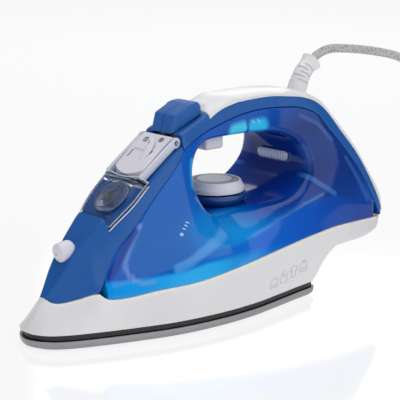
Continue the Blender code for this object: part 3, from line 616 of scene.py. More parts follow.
# Cord: boot to coil, coil, and on to the plug
cordPlan = {
    "length": 1800.0,
    "radius": 3.25,
    "coilCentre": (222.75, -75.0),
    # radius and height of each pass round the coil: inner column up, one turn on top, outer column down
    "slots": ((39.25, 3.35), (32.75, 3.35), (32.75, 9.85), (32.75, 16.35), (36.0, 21.98), (39.25, 16.35),
              (39.25, 9.85)),
    "arcs": {3: ((39.25, 16.35), 180, 120), 4: ((32.75, 16.35), 60, 0)},
    "turns": 6.25,
    "windowStart": 120.0,
    "windowStep": 25.0,
    "windowLength": 60.0,
    "sides": 16,
    "fine": 3.0,
    "route": (
        (117.8, 0, 161.7), (122.5, 0, 164.9), (128.5, 0, 167.2), (135, 0, 168.3), (142.4, 0, 168.4),
        (159, 0, 166.6), (175, 0, 164.3), (187.6, 0, 162), (203, 0, 158.8), (217.2, 0, 154.6), (232, -1, 148),
        (245, -2.5, 138), (255, -4.5, 124), (260.5, -6, 106), (262.5, -7.5, 87), (263, -8.5, 68),
        (262.8, -10, 50), (262.5, -14, 33), (262.2, -22, 17), (262, -33, 7.2), (262, -44, 3.8),
        (262, -54, 3.35), (262, -66, 3.35),
    ),
    "tail": ((211, -114.25, 9.5), (203, -114.25, 7.2), (197, -114.25, 5.6), (190.5, -114.25, 6.0)),
}


def coilPlace(angle):
    plan = cordPlan
    turn = min(int(angle // 360), len(plan["slots"]) - 1)
    radius, height = plan["slots"][turn]
    if turn < len(plan["slots"]) - 1:
        start = plan["windowStart"] + (5 - turn) * plan["windowStep"]
        share = clamped((angle - turn * 360 - start) / plan["windowLength"])
        share = share * share * (3 - 2 * share)
        if turn in plan["arcs"]:
            centre, first, last = plan["arcs"][turn]
            bearing = math.radians(first + (last - first) * share)
            radius = centre[0] + 2 * plan["radius"] * math.cos(bearing)
            height = centre[1] + 2 * plan["radius"] * math.sin(bearing)
        else:
            after = plan["slots"][turn + 1]
            radius += (after[0] - radius) * share
            height += (after[1] - height) * share
    cx, cy = plan["coilCentre"]
    bearing = -math.radians(angle)
    return Vector((cx + radius * math.cos(bearing), cy + radius * math.sin(bearing), height))


def cordPath(freeStep, coilStep):
    coil = [coilPlace(a) for a in steps(0, 360 * cordPlan["turns"], round(360 * cordPlan["turns"] / coilStep) + 1)]
    free = smoothRoute([*cordPlan["route"], coil[0]], freeStep)
    tail = smoothRoute([coil[-1], *cordPlan["tail"]], freeStep * 0.6)
    return [*free[:-1], *coil, *tail[1:]]


def braidFinish():
    # woven textile: two sets of strands crossing round the cord, with dark flecks along some of them
    made = Nodes("braidedTextile")
    place = made.add("ShaderNodeUVMap").outputs["UV"]
    lean = 0.62
    strands = []
    for turn in (lean, -lean):
        mapping = made.add("ShaderNodeMapping", Vector=place, Rotation=(0, 0, turn))
        wave = made.add("ShaderNodeTexWave", Vector=mapping.outputs["Vector"], Scale=9.0, Distortion=0.4)
        strands.append(wave.outputs["Fac"])
    weave = made.add("ShaderNodeMath", "MAXIMUM", _0=strands[0], _1=strands[1]).outputs[0]
    fleckMap = made.add("ShaderNodeMapping", Vector=place, Rotation=(0, 0, lean), Scale=(1.0, 2.4, 1.0))
    fleck = made.add("ShaderNodeTexNoise", Vector=fleckMap.outputs["Vector"], Scale=2.4, Detail=1.0)
    dark = made.spread(fleck.outputs["Fac"], 0.60, 0.66, 0.0, 1.0)
    # the yarn is painted darker where the weave dips: painted shade in the gaps between the strands
    yarnWithGapShade = made.mixed(weave, (0.60, 0.60, 0.62, 1), (0.84, 0.84, 0.86, 1))
    made.grain(weave, 0.25)
    return made.set(Base_Color=made.mixed(dark, yarnWithGapShade, (0.10, 0.10, 0.12, 1)), Roughness=0.85, Sheen_Weight=0.3)


def makeCord():
    route = cordPath(cordPlan["fine"], 4.5)
    sides = cordPlan["sides"]
    cord = lofted("cord", sweptRings(route, [cordPlan["radius"]] * len(route), sides), finishes["braid"], 50.0)
    lengths = [0.0]
    for a, b in zip(route, route[1:]):
        lengths.append(lengths[-1] + (b - a).length)
    around = 2 * math.pi * cordPlan["radius"]
    layer = cord.data.uv_layers.new(name="UVMap")
    for face in cord.data.polygons:
        columns = {cord.data.loops[i].vertex_index % sides for i in face.loop_indices}
        wraps = len(columns) == 2 and max(columns) - min(columns) > 1
        for i in face.loop_indices:
            row, column = divmod(cord.data.loops[i].vertex_index, sides)
            column = sides if wraps and column == 0 else column
            layer.data[i].uv = (column / sides * around / 6.8, lengths[row] / 6.8)
    fix(cord, "iron", "braid", "cord_run", "cord_coil", "cord_tail")
    return cord


boot = {
    "route": ((98.4, 133.0), (101.3, 140.0), (104.6, 148.0), (109.6, 155.2), (117.4, 161.4)),
    "neck": 0.2,
    "bell": 0.84,
    "slots": 8,
    "slotDepth": 1.5,
    "slotShare": 0.5,
    "sides": 64,
    "step": 0.35,
    "root": 5.6,
    "length": 32.0,
}


def makeBoot():
    route = smoothRoute([(x, 0, z) for x, z in boot["route"]], boot["step"])
    rings = []
    for i, place in enumerate(route):
        share = i / (len(route) - 1)
        ahead = (route[min(i + 1, len(route) - 1)] - route[max(i - 1, 0)]).normalized()
        side = Vector((0, 1, 0))
        up = ahead.cross(side)
        flare = 2.2 * max(0.0, share - boot["bell"]) / (1 - boot["bell"])
        plain = boot["root"] if share < boot["neck"] * 0.7 else 7.6 - 1.6 * share + flare
        plain -= softEdge((1 - share) * boot["length"], 1.2)
        phase = (share - boot["neck"]) / (boot["bell"] - boot["neck"]) * boot["slots"]
        inSlot = 0 <= phase < boot["slots"] and (phase % 1) < boot["slotShare"]
        depth = math.sin(math.pi * (phase % 1) / boot["slotShare"]) ** 0.35 if inSlot else 0.0
        ring = []
        for k in range(boot["sides"]):
            bearing = 2 * math.pi * k / boot["sides"]
            quarter = bearing + (math.pi / 2 if int(phase) % 2 and phase > 0 else 0)
            cutOpen = clamped((abs(math.sin(quarter)) - 0.30) / 0.12)
            radius = plain - boot["slotDepth"] * depth * cutOpen
            ring.append(tuple(place + (side * math.cos(bearing) + up * math.sin(bearing)) * radius))
        rings.append(ring)
    return fix(lofted("cordBoot", rings, "white", 40.0), "iron", "white", "cord_boot")


plug = {
    "start": (189.2, -114.25, 6.2),
    "tilt": 16.6,
    "profile": (
        (4.2, 0), (4.6, 0.4), (4.6, 3), (4.1, 3.4), (4.1, 4.4), (4.8, 4.8), (4.8, 7), (4.3, 7.4), (4.3, 8.4),
        (5.0, 8.8), (5.0, 11), (4.5, 11.4), (4.5, 12.4), (5.2, 12.8), (5.6, 18), (7, 20), (9, 22.4), (10.6, 26),
        (12, 30), (14.2, 34.6), (16.4, 38.2), (17.5, 39.6), (18.2, 41), (18.5, 42.4), (18.5, 47), (18.1, 47.5),
        (18.1, 48.3), (18.5, 48.8), (18.5, 57.4), (18.1, 59), (17, 60),
    ),
    "length": 60.0,
    "pin": ((2.4, 0), (2.4, 17.2), (2.2, 18.2), (1.6, 18.8), (0.6, 19)),
    "pinSpacing": 19.0,
}


def makePlug():
    tilt = math.radians(plug["tilt"])
    along = Vector((-math.cos(tilt), 0, math.sin(tilt)))
    made = [turned("plugBody", plug["profile"], "white", plug["start"], along, 64)]
    fix(made[0], "iron", "white", "plug_body")
    face = Vector(plug["start"]) + along * (plug["length"] + body["gap"])
    for name, side in (("near", -1), ("far", 1)):
        foot = face + Vector((0, side * plug["pinSpacing"] / 2, 0))
        pin = turned(f"plugPin{name.title()}", plug["pin"], "steel", foot, along, 24)
        made.append(fix(pin, "iron", "steel", f"plug_pin_{name}"))
    return made


finishes["braid"] = braidFinish()
cordPiece = makeCord()
onCord = [makeBoot(), *makePlug()]
print("cord ready")


# Soleplate, heat shield, skirt and heel
sole = {
    "stations": (-146, -145.9, -145.7, -145.4, -145, -144.5, -143.8, -142.8, -141.6, -140, -138, -136),
    "rear": (78, 79, 80, 80.8, 81.5, 82, 82.4, 82.7, 82.9, 83),
    "edge": ((0, 5.5), (0.2, 3.6), (0.7, 2.0), (1.5, 0.95), (2.6, 0.35), (4.2, 0.16), (5.9, 0.16), (6.2, 0.4)),
    "vents": ((-110, 14), (-92, 22), (-72, 29), (-50, 35), (-26, 39), (-2, 40), (22, 38), (-78, 12), (-52, 17)),
    "ventProfile": ((2.9, -1), (2.1, 0.4), (1.6, 0.9), (1.6, 2.5)),
    "shield": ((6.5, 1.9), (6.7, 1.6), (9.8, 1.6), (10.0, 1.9)),
}


def planRing(z, inset):
    xs = [*sole["stations"], *steps(-133, 75, 60), *sole["rear"]]
    nose = xs[0]
    length = body["soleHeel"] - nose
    widest = soleHalf(-12)
    along = (length - 2.4 * inset) / length
    across = (widest - inset) / widest
    near = [(nose + 1.4 * inset + (x - nose) * along, -soleHalf(x) * across, z) for x in xs]
    return near + [(x, -y, z) for x, y, z in near[::-1]]


def makeSole():
    plate = lofted("soleplateFine", [planRing(z, inset) for z, inset in sole["edge"]], "steel")
    vents = [(-118, 0)] + [(x, side * y) for x, y in sole["vents"] for side in (-1, 1)]
    cutAway(plate, many("vents", [turnedRings(sole["ventProfile"], (x, y, 0), segments=20) for x, y in vents], None))
    fix(plate, "iron", "steel", "soleplate")
    band = lofted("heatShield", [planRing(z, inset) for z, inset in sole["shield"]], "black")
    cutAway(band, lofted("shieldInside", [planRing(3, 12), planRing(14, 12)], None))
    fix(band, "iron", "black", "heat_shield")


skirt = {
    "wall": 2.2,
    "noseStations": (-144.8, -144.4, -143.8, -143, -142, -140.6, -139, -137, -134.6),
    "lip": 1.3,
    "tipEnd": -127,
    "soleEnd": 80,
    "rearCorner": 8.0,
    "screwSides": (-24, 24),
    "screwX": 126,
    "screwRadius": 3.4,
}


def skirtTop(x):
    return noseEdge(x) + 0.6 if x < body["noseTop"] else seam(x)


# how far a place lies in the top 1.5 mm of the skirt, where a painted warm highlight runs along the lip
def lipHighlightShare(x, y, z):
    return clamped((z - skirtTop(x) + 1.5) / 0.9) if x > body["noseTop"] + 1 else 0.0


def skirtFinish():
    made = Nodes("skirtWhite")
    plain = made.mixed(made.noise(38.0, 4.0, 0.6), (0.72, 0.72, 0.74, 1), (0.80, 0.80, 0.82, 1))
    made.grain(made.noise(2600.0, 2.0, 0.6), 0.012)
    sheen = made.wear(made.noise(120.0, 5.0, 0.65), (0.32, 0.42))
    # cream along the top lip is a painted highlight
    return made.set(Base_Color=made.mixed(made.attribute("lip"), plain, (0.93, 0.90, 0.80, 1)), Roughness=sheen,
                    Coat_Weight=0.2, Coat_Roughness=0.15)


def makeSkirt():
    end, gap, wall = body["heelSeam"], body["gap"], skirt["wall"]
    soleEnd = skirt["soleEnd"]
    stations = [*skirt["noseStations"], *stationsBetween(-132, 78, 2.5),
                *stationsBetween(soleEnd, end - gap / 2, 1.6)]
    rings = sectionRings(stations, underside, skirtTop, rows=10, width=noseHalf,
                         footRound=lambda x: 0.5 if x < soleEnd else 2.5, topRound=skirt["lip"])
    shell = lofted("baseSkirt", rings, finishes["skirtWhite"], 40.0)
    # open underneath, and closed on top at the tip
    hollow(shell, [x for x in stations if -138 < x < end - gap / 2 - 5],
           lambda x: body["skirtFoot"] - 4 if x < soleEnd else underside(x) + wall,
           lambda x: skirtTop(x) + (4 if x > skirt["tipEnd"] else -4), inset=wall, rows=4, width=noseHalf)
    cutAway(shell, block("passage", (end, 0, 42), (8, 30, 8), None))
    # the painted highlight along the top lip
    paint(shell, "lip", lipHighlightShare)
    fix(shell, "iron", "white", "base_skirt")

    first = end + gap / 2
    stations = [first, first + 0.3, first + 1, *stationsBetween(114, 138, 1.8), *steps(139, body["heel"], 11)]
    rings = sectionRings(stations, lambda x: underside(x) + 0.6 * softEdge(body["heel"] - x, 4), seam, rows=10,
                         footRound=3.0, topRound=skirt["lip"], ends=(0.4, skirt["rearCorner"]))
    heel = lofted("heelCover", rings, finishes["skirtWhite"], 40.0)
    hollow(heel, stationsBetween(first + 2, 140, 4), lambda x: underside(x) + wall, lambda x: seam(x) + 3,
           inset=wall, rows=4, ends=(0, 3))
    for y in skirt["screwSides"]:
        bore(heel, (skirt["screwX"], y, 30), (skirt["screwX"], y, 40), skirt["screwRadius"])
    # the painted highlight along the top lip
    paint(heel, "lip", lipHighlightShare)
    fix(heel, "iron", "white", "heel_cover")


finishes["skirtWhite"] = skirtFinish()
makeSole()
makeSkirt()
print("base ready")


# Water tank round the hand opening
tank = {
    "opening": (
        (-14, 74), (-20, 80), (-23.5, 90), (-22.5, 100), (-17.5, 110), (-9, 117), (2, 120), (25, 120.2),
        (50, 119.3), (64, 117), (74, 111), (79, 101), (78.5, 91), (71, 82), (60, 76), (46, 73), (20, 71.5),
        (0, 71.5),
    ),
    "middle": Vector((28.0, 96.0)),
    "count": 560,
    "edgeSteps": (0, 0.2, 0.6, 1.2, 1.9, 2.7, 3.6, 4.6, 5.8, 7.2, 9.0),
    "loops": 52,
    "edgeRadius": 5.0,
    "borderRadius": 0.6,
    "across": 8,
    "front": -101.5,
    "rear": 136.5,
    # foot, head and radius of the holes for the thermostat's shaft, the steam valve and the funnel
    "bores": (((20, 0, 20), (20, 0, 90), 4), ((-46, 0, 20), (-46, 0, 110), 4.2), ((-72, 0, 55), (-72, 0, 90), 8)),
}
pumpBores = [((-22, side * 6, 112.5), (-22, side * 6, 130), 4.9) for side in (-1, 1)]


def closedCurve(points, perSpan):
    size = len(points)
    loop = []
    for i in range(size):
        four = [Vector(points[(i + k) % size]) for k in (-1, 0, 1, 2)]
        loop += [between(*four, k / perSpan) for k in range(perSpan)]
    return loop


def tankOuter():
    gap = body["gap"]
    lower = [Vector((x, seam(x) + gap)) for x in stationsBetween(tank["front"] + 2, tank["rear"] - 2, 2)]
    rear = [Vector((x, bandFoot(x) - gap)) for x in stationsBetween(-26.9, tank["rear"], 1.5)][::-1]
    front = [Vector((x, noseFoot(x) - gap)) for x in stationsBetween(tank["front"] + 1.5, -27.1, 1.5)][::-1]
    return lower + rear + front


def evenly(loop, count):
    lengths = [0.0]
    closed = [*loop, loop[0]]
    for a, b in zip(closed, closed[1:]):
        lengths.append(lengths[-1] + (b - a).length)
    spaced = []
    for i in range(count):
        want = lengths[-1] * i / count
        j = min(bisect.bisect_right(lengths, want) - 1, len(loop) - 1)
        span = max(lengths[j + 1] - lengths[j], 1e-9)
        spaced.append(closed[j] + (closed[j + 1] - closed[j]) * ((want - lengths[j]) / span))
    return spaced


def openingAt(direction, loop):
    # where a ray from the middle of the hand opening meets its edge
    middle = tank["middle"]
    for a, b in zip(loop, [*loop[1:], loop[0]]):
        a, b = a - middle, b - middle
        across = direction.x * (b.y - a.y) - direction.y * (b.x - a.x)
        if abs(across) < 1e-9:
            continue
        along = (a.x * (b.y - a.y) - a.y * (b.x - a.x)) / across
        share = (a.x * direction.y - a.y * direction.x) / across
        if along > 0 and -1e-6 <= share <= 1 + 1e-6:
            return middle + direction * along
    return middle


def bell(x, z, cx, cz, sx, sz):
    return math.exp(-(((x - cx) / sx) ** 2) - ((z - cz) / sz) ** 2)


def linear(red, green, blue):
    return tuple(((c / 255 + 0.055) / 1.055) ** 2.4 if c > 10 else c / 255 / 12.92 for c in (red, green, blue))


# the tank's colour is painted by place: its own blue, with a painted glow where light passes through, painted shade
# towards the rear and painted reflections of the softboxes
tankPaintedLight = {
    "plain": linear(0, 86, 190),
    # painted glow and shade over the tank's own blue, lighter towards the front and darker towards the rear: colour,
    # weight, centre x, z, reach x, z
    "glowAndShadeZones": (
        (linear(6, 100, 186), 0.95, -66, 60, 26, 26),
        (linear(0, 90, 180), 0.8, -40, 74, 22, 22),
        (linear(0, 100, 190), 0.8, -48, 100, 16, 18),
        (linear(0, 146, 226), 0.95, 2, 60, 30, 11),
        (linear(0, 132, 214), 0.8, -22, 66, 20, 12),
        (linear(0, 50, 142), 0.95, 46, 74, 30, 9),
        (linear(0, 42, 118), 0.97, 84, 92, 26, 30),
        (linear(0, 46, 126), 0.95, 112, 92, 24, 40),
        (linear(0, 42, 116), 0.95, 86, 122, 30, 14),
        (linear(0, 76, 160), 0.6, 30, 128, 60, 5),
        (linear(0, 60, 136), 0.5, 124, 58, 14, 9),
    ),
    # below this line the base of the tank shows through, painted brighter towards the front as painted light and
    # darker towards the rear as painted shade
    "baseLine": smoothLine((-104, 41), (-91, 41.4), (-53, 43.4), (-31, 50), (12.5, 55.8), (38.6, 62.8), (67, 69.3),
                           (90, 72), (136, 60)),
    "baseColours": (linear(6, 122, 210), linear(0, 98, 212), linear(0, 60, 158)),
    # a painted glow along the rim just above the skirt, strongest in the front half and fading towards the rear
    "glowRimTop": smoothLine((-104, 41), (-91, 41.4), (-53, 43.4), (-31, 46.4), (10, 49), (40, 50), (136, 51)),
    "glowRimColours": (linear(0, 148, 234), linear(40, 176, 244), linear(0, 108, 214), linear(0, 80, 172)),
    # painted reflections of the softboxes, painted glow under the handle and at the front of the opening, small
    # painted glints, and dark lines of the inner walls and a rib: colour, weight, half width, edge, points in the
    # side view
    "strokes": (
        (linear(84, 164, 236), 0.7, 1.8, 2.4, ((-54, 45), (-44, 48), (-37, 51.5), (-24, 56.5), (-12, 61))),
        (linear(120, 160, 230), 0.6, 0.8, 1.1, ((-72, 74), (-76.9, 67.4), (-83, 58), (-86.5, 51), (-86.5, 46),
                                                (-83.6, 40.6), (-78, 37.8), (-71, 38.4))),
        (linear(10, 56, 150), 0.9, 1.5, 1.5, ((-76, 71), (-84, 61), (-91, 51), (-97, 43.5))),
        (linear(70, 124, 208), 0.55, 1.2, 1.2, ((70.5, 91), (76, 86.5), (82.6, 81.6), (95, 73))),
        (linear(58, 92, 172), 0.55, 2.2, 2.5, ((78, 105), (79.5, 99), (76, 94))),
        (linear(70, 104, 176), 0.5, 0.9, 1.2, ((80, 128.5), (92, 122), (101, 110))),
        (linear(64, 104, 184), 0.5, 0.8, 1.2, ((112, 96), (121, 80), (129, 63))),
        (linear(70, 216, 252), 0.85, 2.6, 4.2, ((22, 123.5), (30, 124.5))),
        (linear(30, 196, 248), 0.85, 2.6, 4.0, ((39.5, 124.5), (48, 125))),
        (linear(8, 70, 170), 0.9, 0.6, 0.6, ((35, 120.5), (34.5, 129.5))),
        (linear(150, 226, 252), 0.5, 0.3, 0.5, ((38.5, 129), (41, 127.5))),
        (linear(150, 226, 252), 0.5, 0.3, 0.5, ((44, 129), (46, 127))),
        (linear(66, 214, 250), 0.6, 0.3, 3.2, ((-22, 109), (-24.6, 101), (-26, 94))),
        (linear(120, 150, 226), 0.6, 0.8, 1.0, ((-26, 86), (-22, 79), (-16, 73.5))),
        (linear(80, 150, 230), 0.45, 0.5, 0.8, ((12.5, 56.5), (38.6, 63.6), (67, 70), (84, 74))),
    ),
    # colours of the opening's wall and deck, then the painted glow under the handle and along the front edge of the
    # opening
    "wall": linear(0, 42, 128),
    "deck": linear(0, 50, 150),
    "underHandleGlow": linear(44, 190, 238),
    "innerEdgeGlow": linear(66, 214, 250),
}


def mixColour(first, second, share):
    return tuple(a + (b - a) * clamped(share) for a, b in zip(first, second))


def ramp(colours, share):
    place = clamped(share) * (len(colours) - 1)
    i = min(int(place), len(colours) - 2)
    return mixColour(colours[i], colours[i + 1], place - i)


def strokeShare(x, z, half, edge, points):
    nearest = 1e9
    for (ax, az), (bx, bz) in zip(points, points[1:]):
        along = clamped(((x - ax) * (bx - ax) + (z - az) * (bz - az)) / ((bx - ax) ** 2 + (bz - az) ** 2))
        nearest = min(nearest, math.hypot(x - ax - along * (bx - ax), z - az - along * (bz - az)))
    return clamped((half + edge - nearest) / edge)


# the tank's blue at a place in the side view, with the painted glow, shade and reflections laid over it
def tankColourWithPaintedLight(x, z):
    colour = tankPaintedLight["plain"]
    for zone, weight, cx, cz, sx, sz in tankPaintedLight["glowAndShadeZones"]:
        colour = mixColour(colour, zone, weight * bell(x, z, cx, cz, sx, sz))
    below = (tankPaintedLight["baseLine"](x) - z) / 1.6
    colour = mixColour(colour, ramp(tankPaintedLight["baseColours"], (x + 80) / 200), 0.92 * clamped(below))
    below = (tankPaintedLight["glowRimTop"](x) - z) / (2.2 + max(x + 30, 0) * 0.08)
    fade = 1 - min(max((x - 20) / 90, 0.0), 0.65)
    colour = mixColour(colour, ramp(tankPaintedLight["glowRimColours"], (x + 100) / 200), fade * clamped(below))
    for stroke, weight, half, edge, points in tankPaintedLight["strokes"]:
        colour = mixColour(colour, stroke, weight * strokeShare(x, z, half, edge, points))
    return colour


# the wall of the hand opening, darker from the deck upwards, with a painted glow under the handle and along the front
# edge
def wallColourWithPaintedLight(x, z):
    colour = mixColour(tankPaintedLight["deck"], tankPaintedLight["wall"], (z - 72) / 16)
    if z > 112:
        for cx in (27, 43.5):
            colour = mixColour(colour, tankPaintedLight["underHandleGlow"], bell(x, 0, cx, 0, 7, 1))
    if x < 0:
        colour = mixColour(colour, tankPaintedLight["innerEdgeGlow"], 0.35 * bell(0, z, 0, 94, 1, 15))
    return colour


def tankFinish():
    made = Nodes("tankPolymerPaintedLight")
    # the colour attribute carries the tank's blue with its painted glow, shade and reflections
    colour = made.attribute("paint", "Color")
    shades = [made.add("ShaderNodeHueSaturation", Color=colour, Value=v).outputs["Color"] for v in (0.88, 1.1)]
    tint = made.mixed(made.noise(26.0, 3.0, 0.55), *shades)
    sheen = made.wear(made.noise(90.0, 4.0, 0.6), (0.09, 0.16))
    made.grain(made.noise(34.0, 2.0), 0.05, 0.35)
    return made.set(Base_Color=tint, Roughness=sheen, Coat_Weight=0.12, Coat_Roughness=0.05, IOR=1.42,
                    Specular_IOR_Level=0.28)


def makeTank():
    inner = closedCurve(tank["opening"], 8)
    outer = evenly(tankOuter(), tank["count"])
    columns = []
    for far in outer:
        direction = (far - tank["middle"]).normalized()
        near = openingAt(direction, inner)
        span = (far - near).length
        reach = [min(step, span * 0.5 * step / tank["edgeSteps"][-1]) for step in tank["edgeSteps"]]
        rest = tank["loops"] - len(reach)
        reach += [reach[-1] + (span - reach[-1]) * (i / rest) ** 1.1 for i in range(1, rest + 1)]
        column = []
        for distance in reach:
            place = near + direction * distance
            width = halfWidth(place.x, min(place.y, crest(place.x) - 0.5))
            width -= softEdge(distance, tank["edgeRadius"])
            width -= softEdge(span - distance, tank["borderRadius"])
            column.append((place.x, place.y, width))
        columns.append(column)
    count, loops = tank["count"], tank["loops"]
    points, colours = [], []
    for side in (-1, 1):
        for k in range(loops):
            for column in columns:
                x, z, width = column[k]
                points.append((x, side * width, z))
                colours.append(tankColourWithPaintedLight(x, z))
    faces = []
    far = loops * count
    for k in range(loops - 1):
        for i in range(count):
            j = (i + 1) % count
            a, b = k * count, (k + 1) * count
            faces.append((a + i, a + j, b + j, b + i))
            faces.append((far + a + i, far + b + i, far + b + j, far + a + j))
    # the wall of the opening, from the near side to the far side, and the hidden outer border
    last = 0
    for step in range(1, tank["across"]):
        share = -1 + 2 * step / tank["across"]
        start = len(points)
        for column in columns:
            x, z, width = column[0]
            points.append((x, share * width, z))
            colours.append(wallColourWithPaintedLight(x, z))
        faces += [(last + i, start + i, start + (i + 1) % count, last + (i + 1) % count) for i in range(count)]
        last = start
    faces += [(last + i, far + i, far + (i + 1) % count, last + (i + 1) % count) for i in range(count)]
    rim, other = (loops - 1) * count, far + (loops - 1) * count
    faces += [(rim + i, rim + (i + 1) % count, other + (i + 1) % count, other + i) for i in range(count)]
    piece = meshPiece("waterTank", points, faces, finishes["tank"], 50.0)
    # the tank's blue with the painted glow, shade and reflections, kept at each vertex
    layer = piece.data.attributes.new("paint", "FLOAT_COLOR", "POINT")
    for item, colour in zip(layer.data, colours):
        item.color = (*colour, 1.0)
    cutAway(piece, many("tankBores", [rodRings(*hole) for hole in (*tank["bores"], *pumpBores)], None))
    fix(piece, "iron", "tank_blue", "water_tank")


finishes["tank"] = tankFinish()
makeTank()
print("tank ready")


# Nose shell, handle band, white insert and rear cover
nose = {
    "first": -132,
    "last": -27.4,
    "roof": 3.4,
    # foot, head and radius of the holes for the nozzle, the funnel and the steam valve
    "bores": (((-112, 0, 59.2), (-96, 0, 62.0), 2.7), ((-72, 0, 70), (-72, 0, 110), 7.4),
              ((-46, 0, 90), (-46, 0, 130), 2.6)),
}


def makeNose():
    foot, depth = body["doorFoot"], body["doorDepth"]

    def top(x):
        return crest(x) - (depth if x > foot else 0)

    def low(x):
        return seam(x) + body["gap"] if x < body["noseCorner"] else noseFoot(x)

    stations = stationsBetween(nose["first"], nose["last"], 1.5, (foot - 0.1, foot + 0.1))
    shell = lofted("noseShell", sectionRings(stations, low, top, topRound=0.8, ends=(0, 1.0)), "blue", 26.0)
    hollow(shell, stationsBetween(-126, -31.5, 6, (foot - 2.3, foot - 2.2)), lambda x: low(x) - 3,
           lambda x: min(top(x), top(x + 2.4)) - nose["roof"], inset=body["shellWall"], rows=5)
    cutAway(shell, many("noseBores", [rodRings(*hole) for hole in nose["bores"]], None))
    fix(shell, "iron", "blue", "nose_shell")


handle = {
    "first": -27.1,
    "bandEnd": 144,
    "coverEnd": 138,
    # the buttons' well: front, rear, top and half width
    "well": (-31, -0.9, 150, 11.3),
    # where its floor is read off the crest, and how far below
    "wellFloor": ((-30, 5.5), (-1.5, 6)),
    "bootRadius": 7.1,
    "screw": ((134.6, 0.0, 84.3), (0.89, 0.0, 0.456)),
    "screwRadius": 2.0,
}


def makeHandle():
    gap, wall = body["gap"], body["shellWall"]
    step = body["insertFront"] - gap

    def top(x):
        return crest(x) if x < step - 0.1 else bandTop(x)

    stations = stationsBetween(handle["first"], handle["bandEnd"], 2, (step - 0.2, step))
    rings = sectionRings(stations, bandFoot, top, topRound=0.6, footRound=1.2, ends=(0.6, 1))
    band = lofted("handleBand", rings, "blue", 40.0)
    hollow(band, stationsBetween(4, 141, 5), lambda x: bandFoot(x) - 3, lambda x: top(x) + 3, inset=wall, rows=4)
    front, rear, above, half = handle["well"]
    frontFloor, rearFloor = (crest(x) - deep for x, deep in handle["wellFloor"])
    well = [(front, frontFloor), (rear, rearFloor), (rear, above), (front, above)]
    cutAway(band, lofted("buttonWell", prismRings(well, half), None))
    for seat in pumpBores:
        bore(band, *seat)
    fix(band, "iron", "blue", "handle_band")

    first, last = body["insertFront"], body["insertRear"]
    stations = [first, first + 0.2, first + 0.6, *stationsBetween(1, last, 2)]
    rings = sectionRings(stations, lambda x: bandTop(x) + gap, crest, footRound=0.4, ends=(0.5, 0.2))
    insert = lofted("handleInsert", rings, "white", 40.0)
    hollow(insert, stationsBetween(first + wall, last - wall, 6), lambda x: bandTop(x) - 2,
           lambda x: crest(x) - wall, inset=wall, rows=4)
    fix(insert, "iron", "white", "handle_insert")

    first = last + gap
    stations = [first, first + 0.4, *stationsBetween(95, handle["coverEnd"], 1.8), *steps(139, body["heel"], 9)]
    rings = sectionRings(stations, lambda x: max(bandTop(x), seam(x)) + gap, crest, footRound=0.4, ends=(0.2, 3))
    cover = lofted("rearCover", rings, "white", 40.0)
    hollow(cover, stationsBetween(first + wall, handle["coverEnd"], 4), lambda x: bandTop(x) - 2,
           lambda x: crest(x) - 3.5, inset=wall, rows=4)
    foot, knee = (Vector((x, 0, z)) for x, z in boot["route"][:2])
    bore(cover, foot, knee * 2 - foot, handle["bootRadius"])
    place, out = map(Vector, handle["screw"])
    bore(cover, place + out * 4, place - out * 8, handle["screwRadius"])
    fix(cover, "iron", "white", "rear_cover")


makeNose()
makeHandle()
print("shells ready")


# Filler door, slider plate and slider
def bowed(rings, start, end, reach, half):
    # draws the middle of the rings forward towards one end, along the crest
    for ring in rings:
        for i, (x, y, z) in enumerate(ring):
            shift = reach * clamped((x - start) / (end - start)) * max(1 - (abs(y) / half) ** 2, 0.0)
            ring[i] = (x - shift, y, z - (crest(x) - crest(x - shift)))
    return rings


door = {
    "wall": 2.0,
    "bow": 4.6,
    "bowStart": -74,
    "armY": 16.6,
    "armSize": (36.5, 2.6, 5.6),
    "eye": ((3.2, 0), (3.8, 0.5), (3.8, 2.1), (3.2, 2.6)),
    "eyeY": 15.3,
    "pin": ((1.1, 0), (1.4, 0.3), (1.4, 5.4), (1.1, 5.7)),
    "pinY": 13.3,
    "pinBore": 1.7,
    "rimGlintRadius": 0.42,
    "symbolX": -76,
    "symbolScale": 1.62,
    "symbolLine": 0.46,
}
funnel = {
    "x": -72,
    "bowl": ((5.0, 64), (6.2, 64), (7.0, 67), (7.0, 79.4), (6.7, 80), (6.1, 80), (5.8, 79.4), (5.8, 67.5), (5.0, 65)),
    "dish": ((7.6, -0.6), (7.6, 0.2), (9.4, 0.5), (11.6, 1.6), (12.4, 2.6), (12.9, 2.5), (12.6, 1.2), (11.4, 0.0),
             (11.0, -0.6)),
}


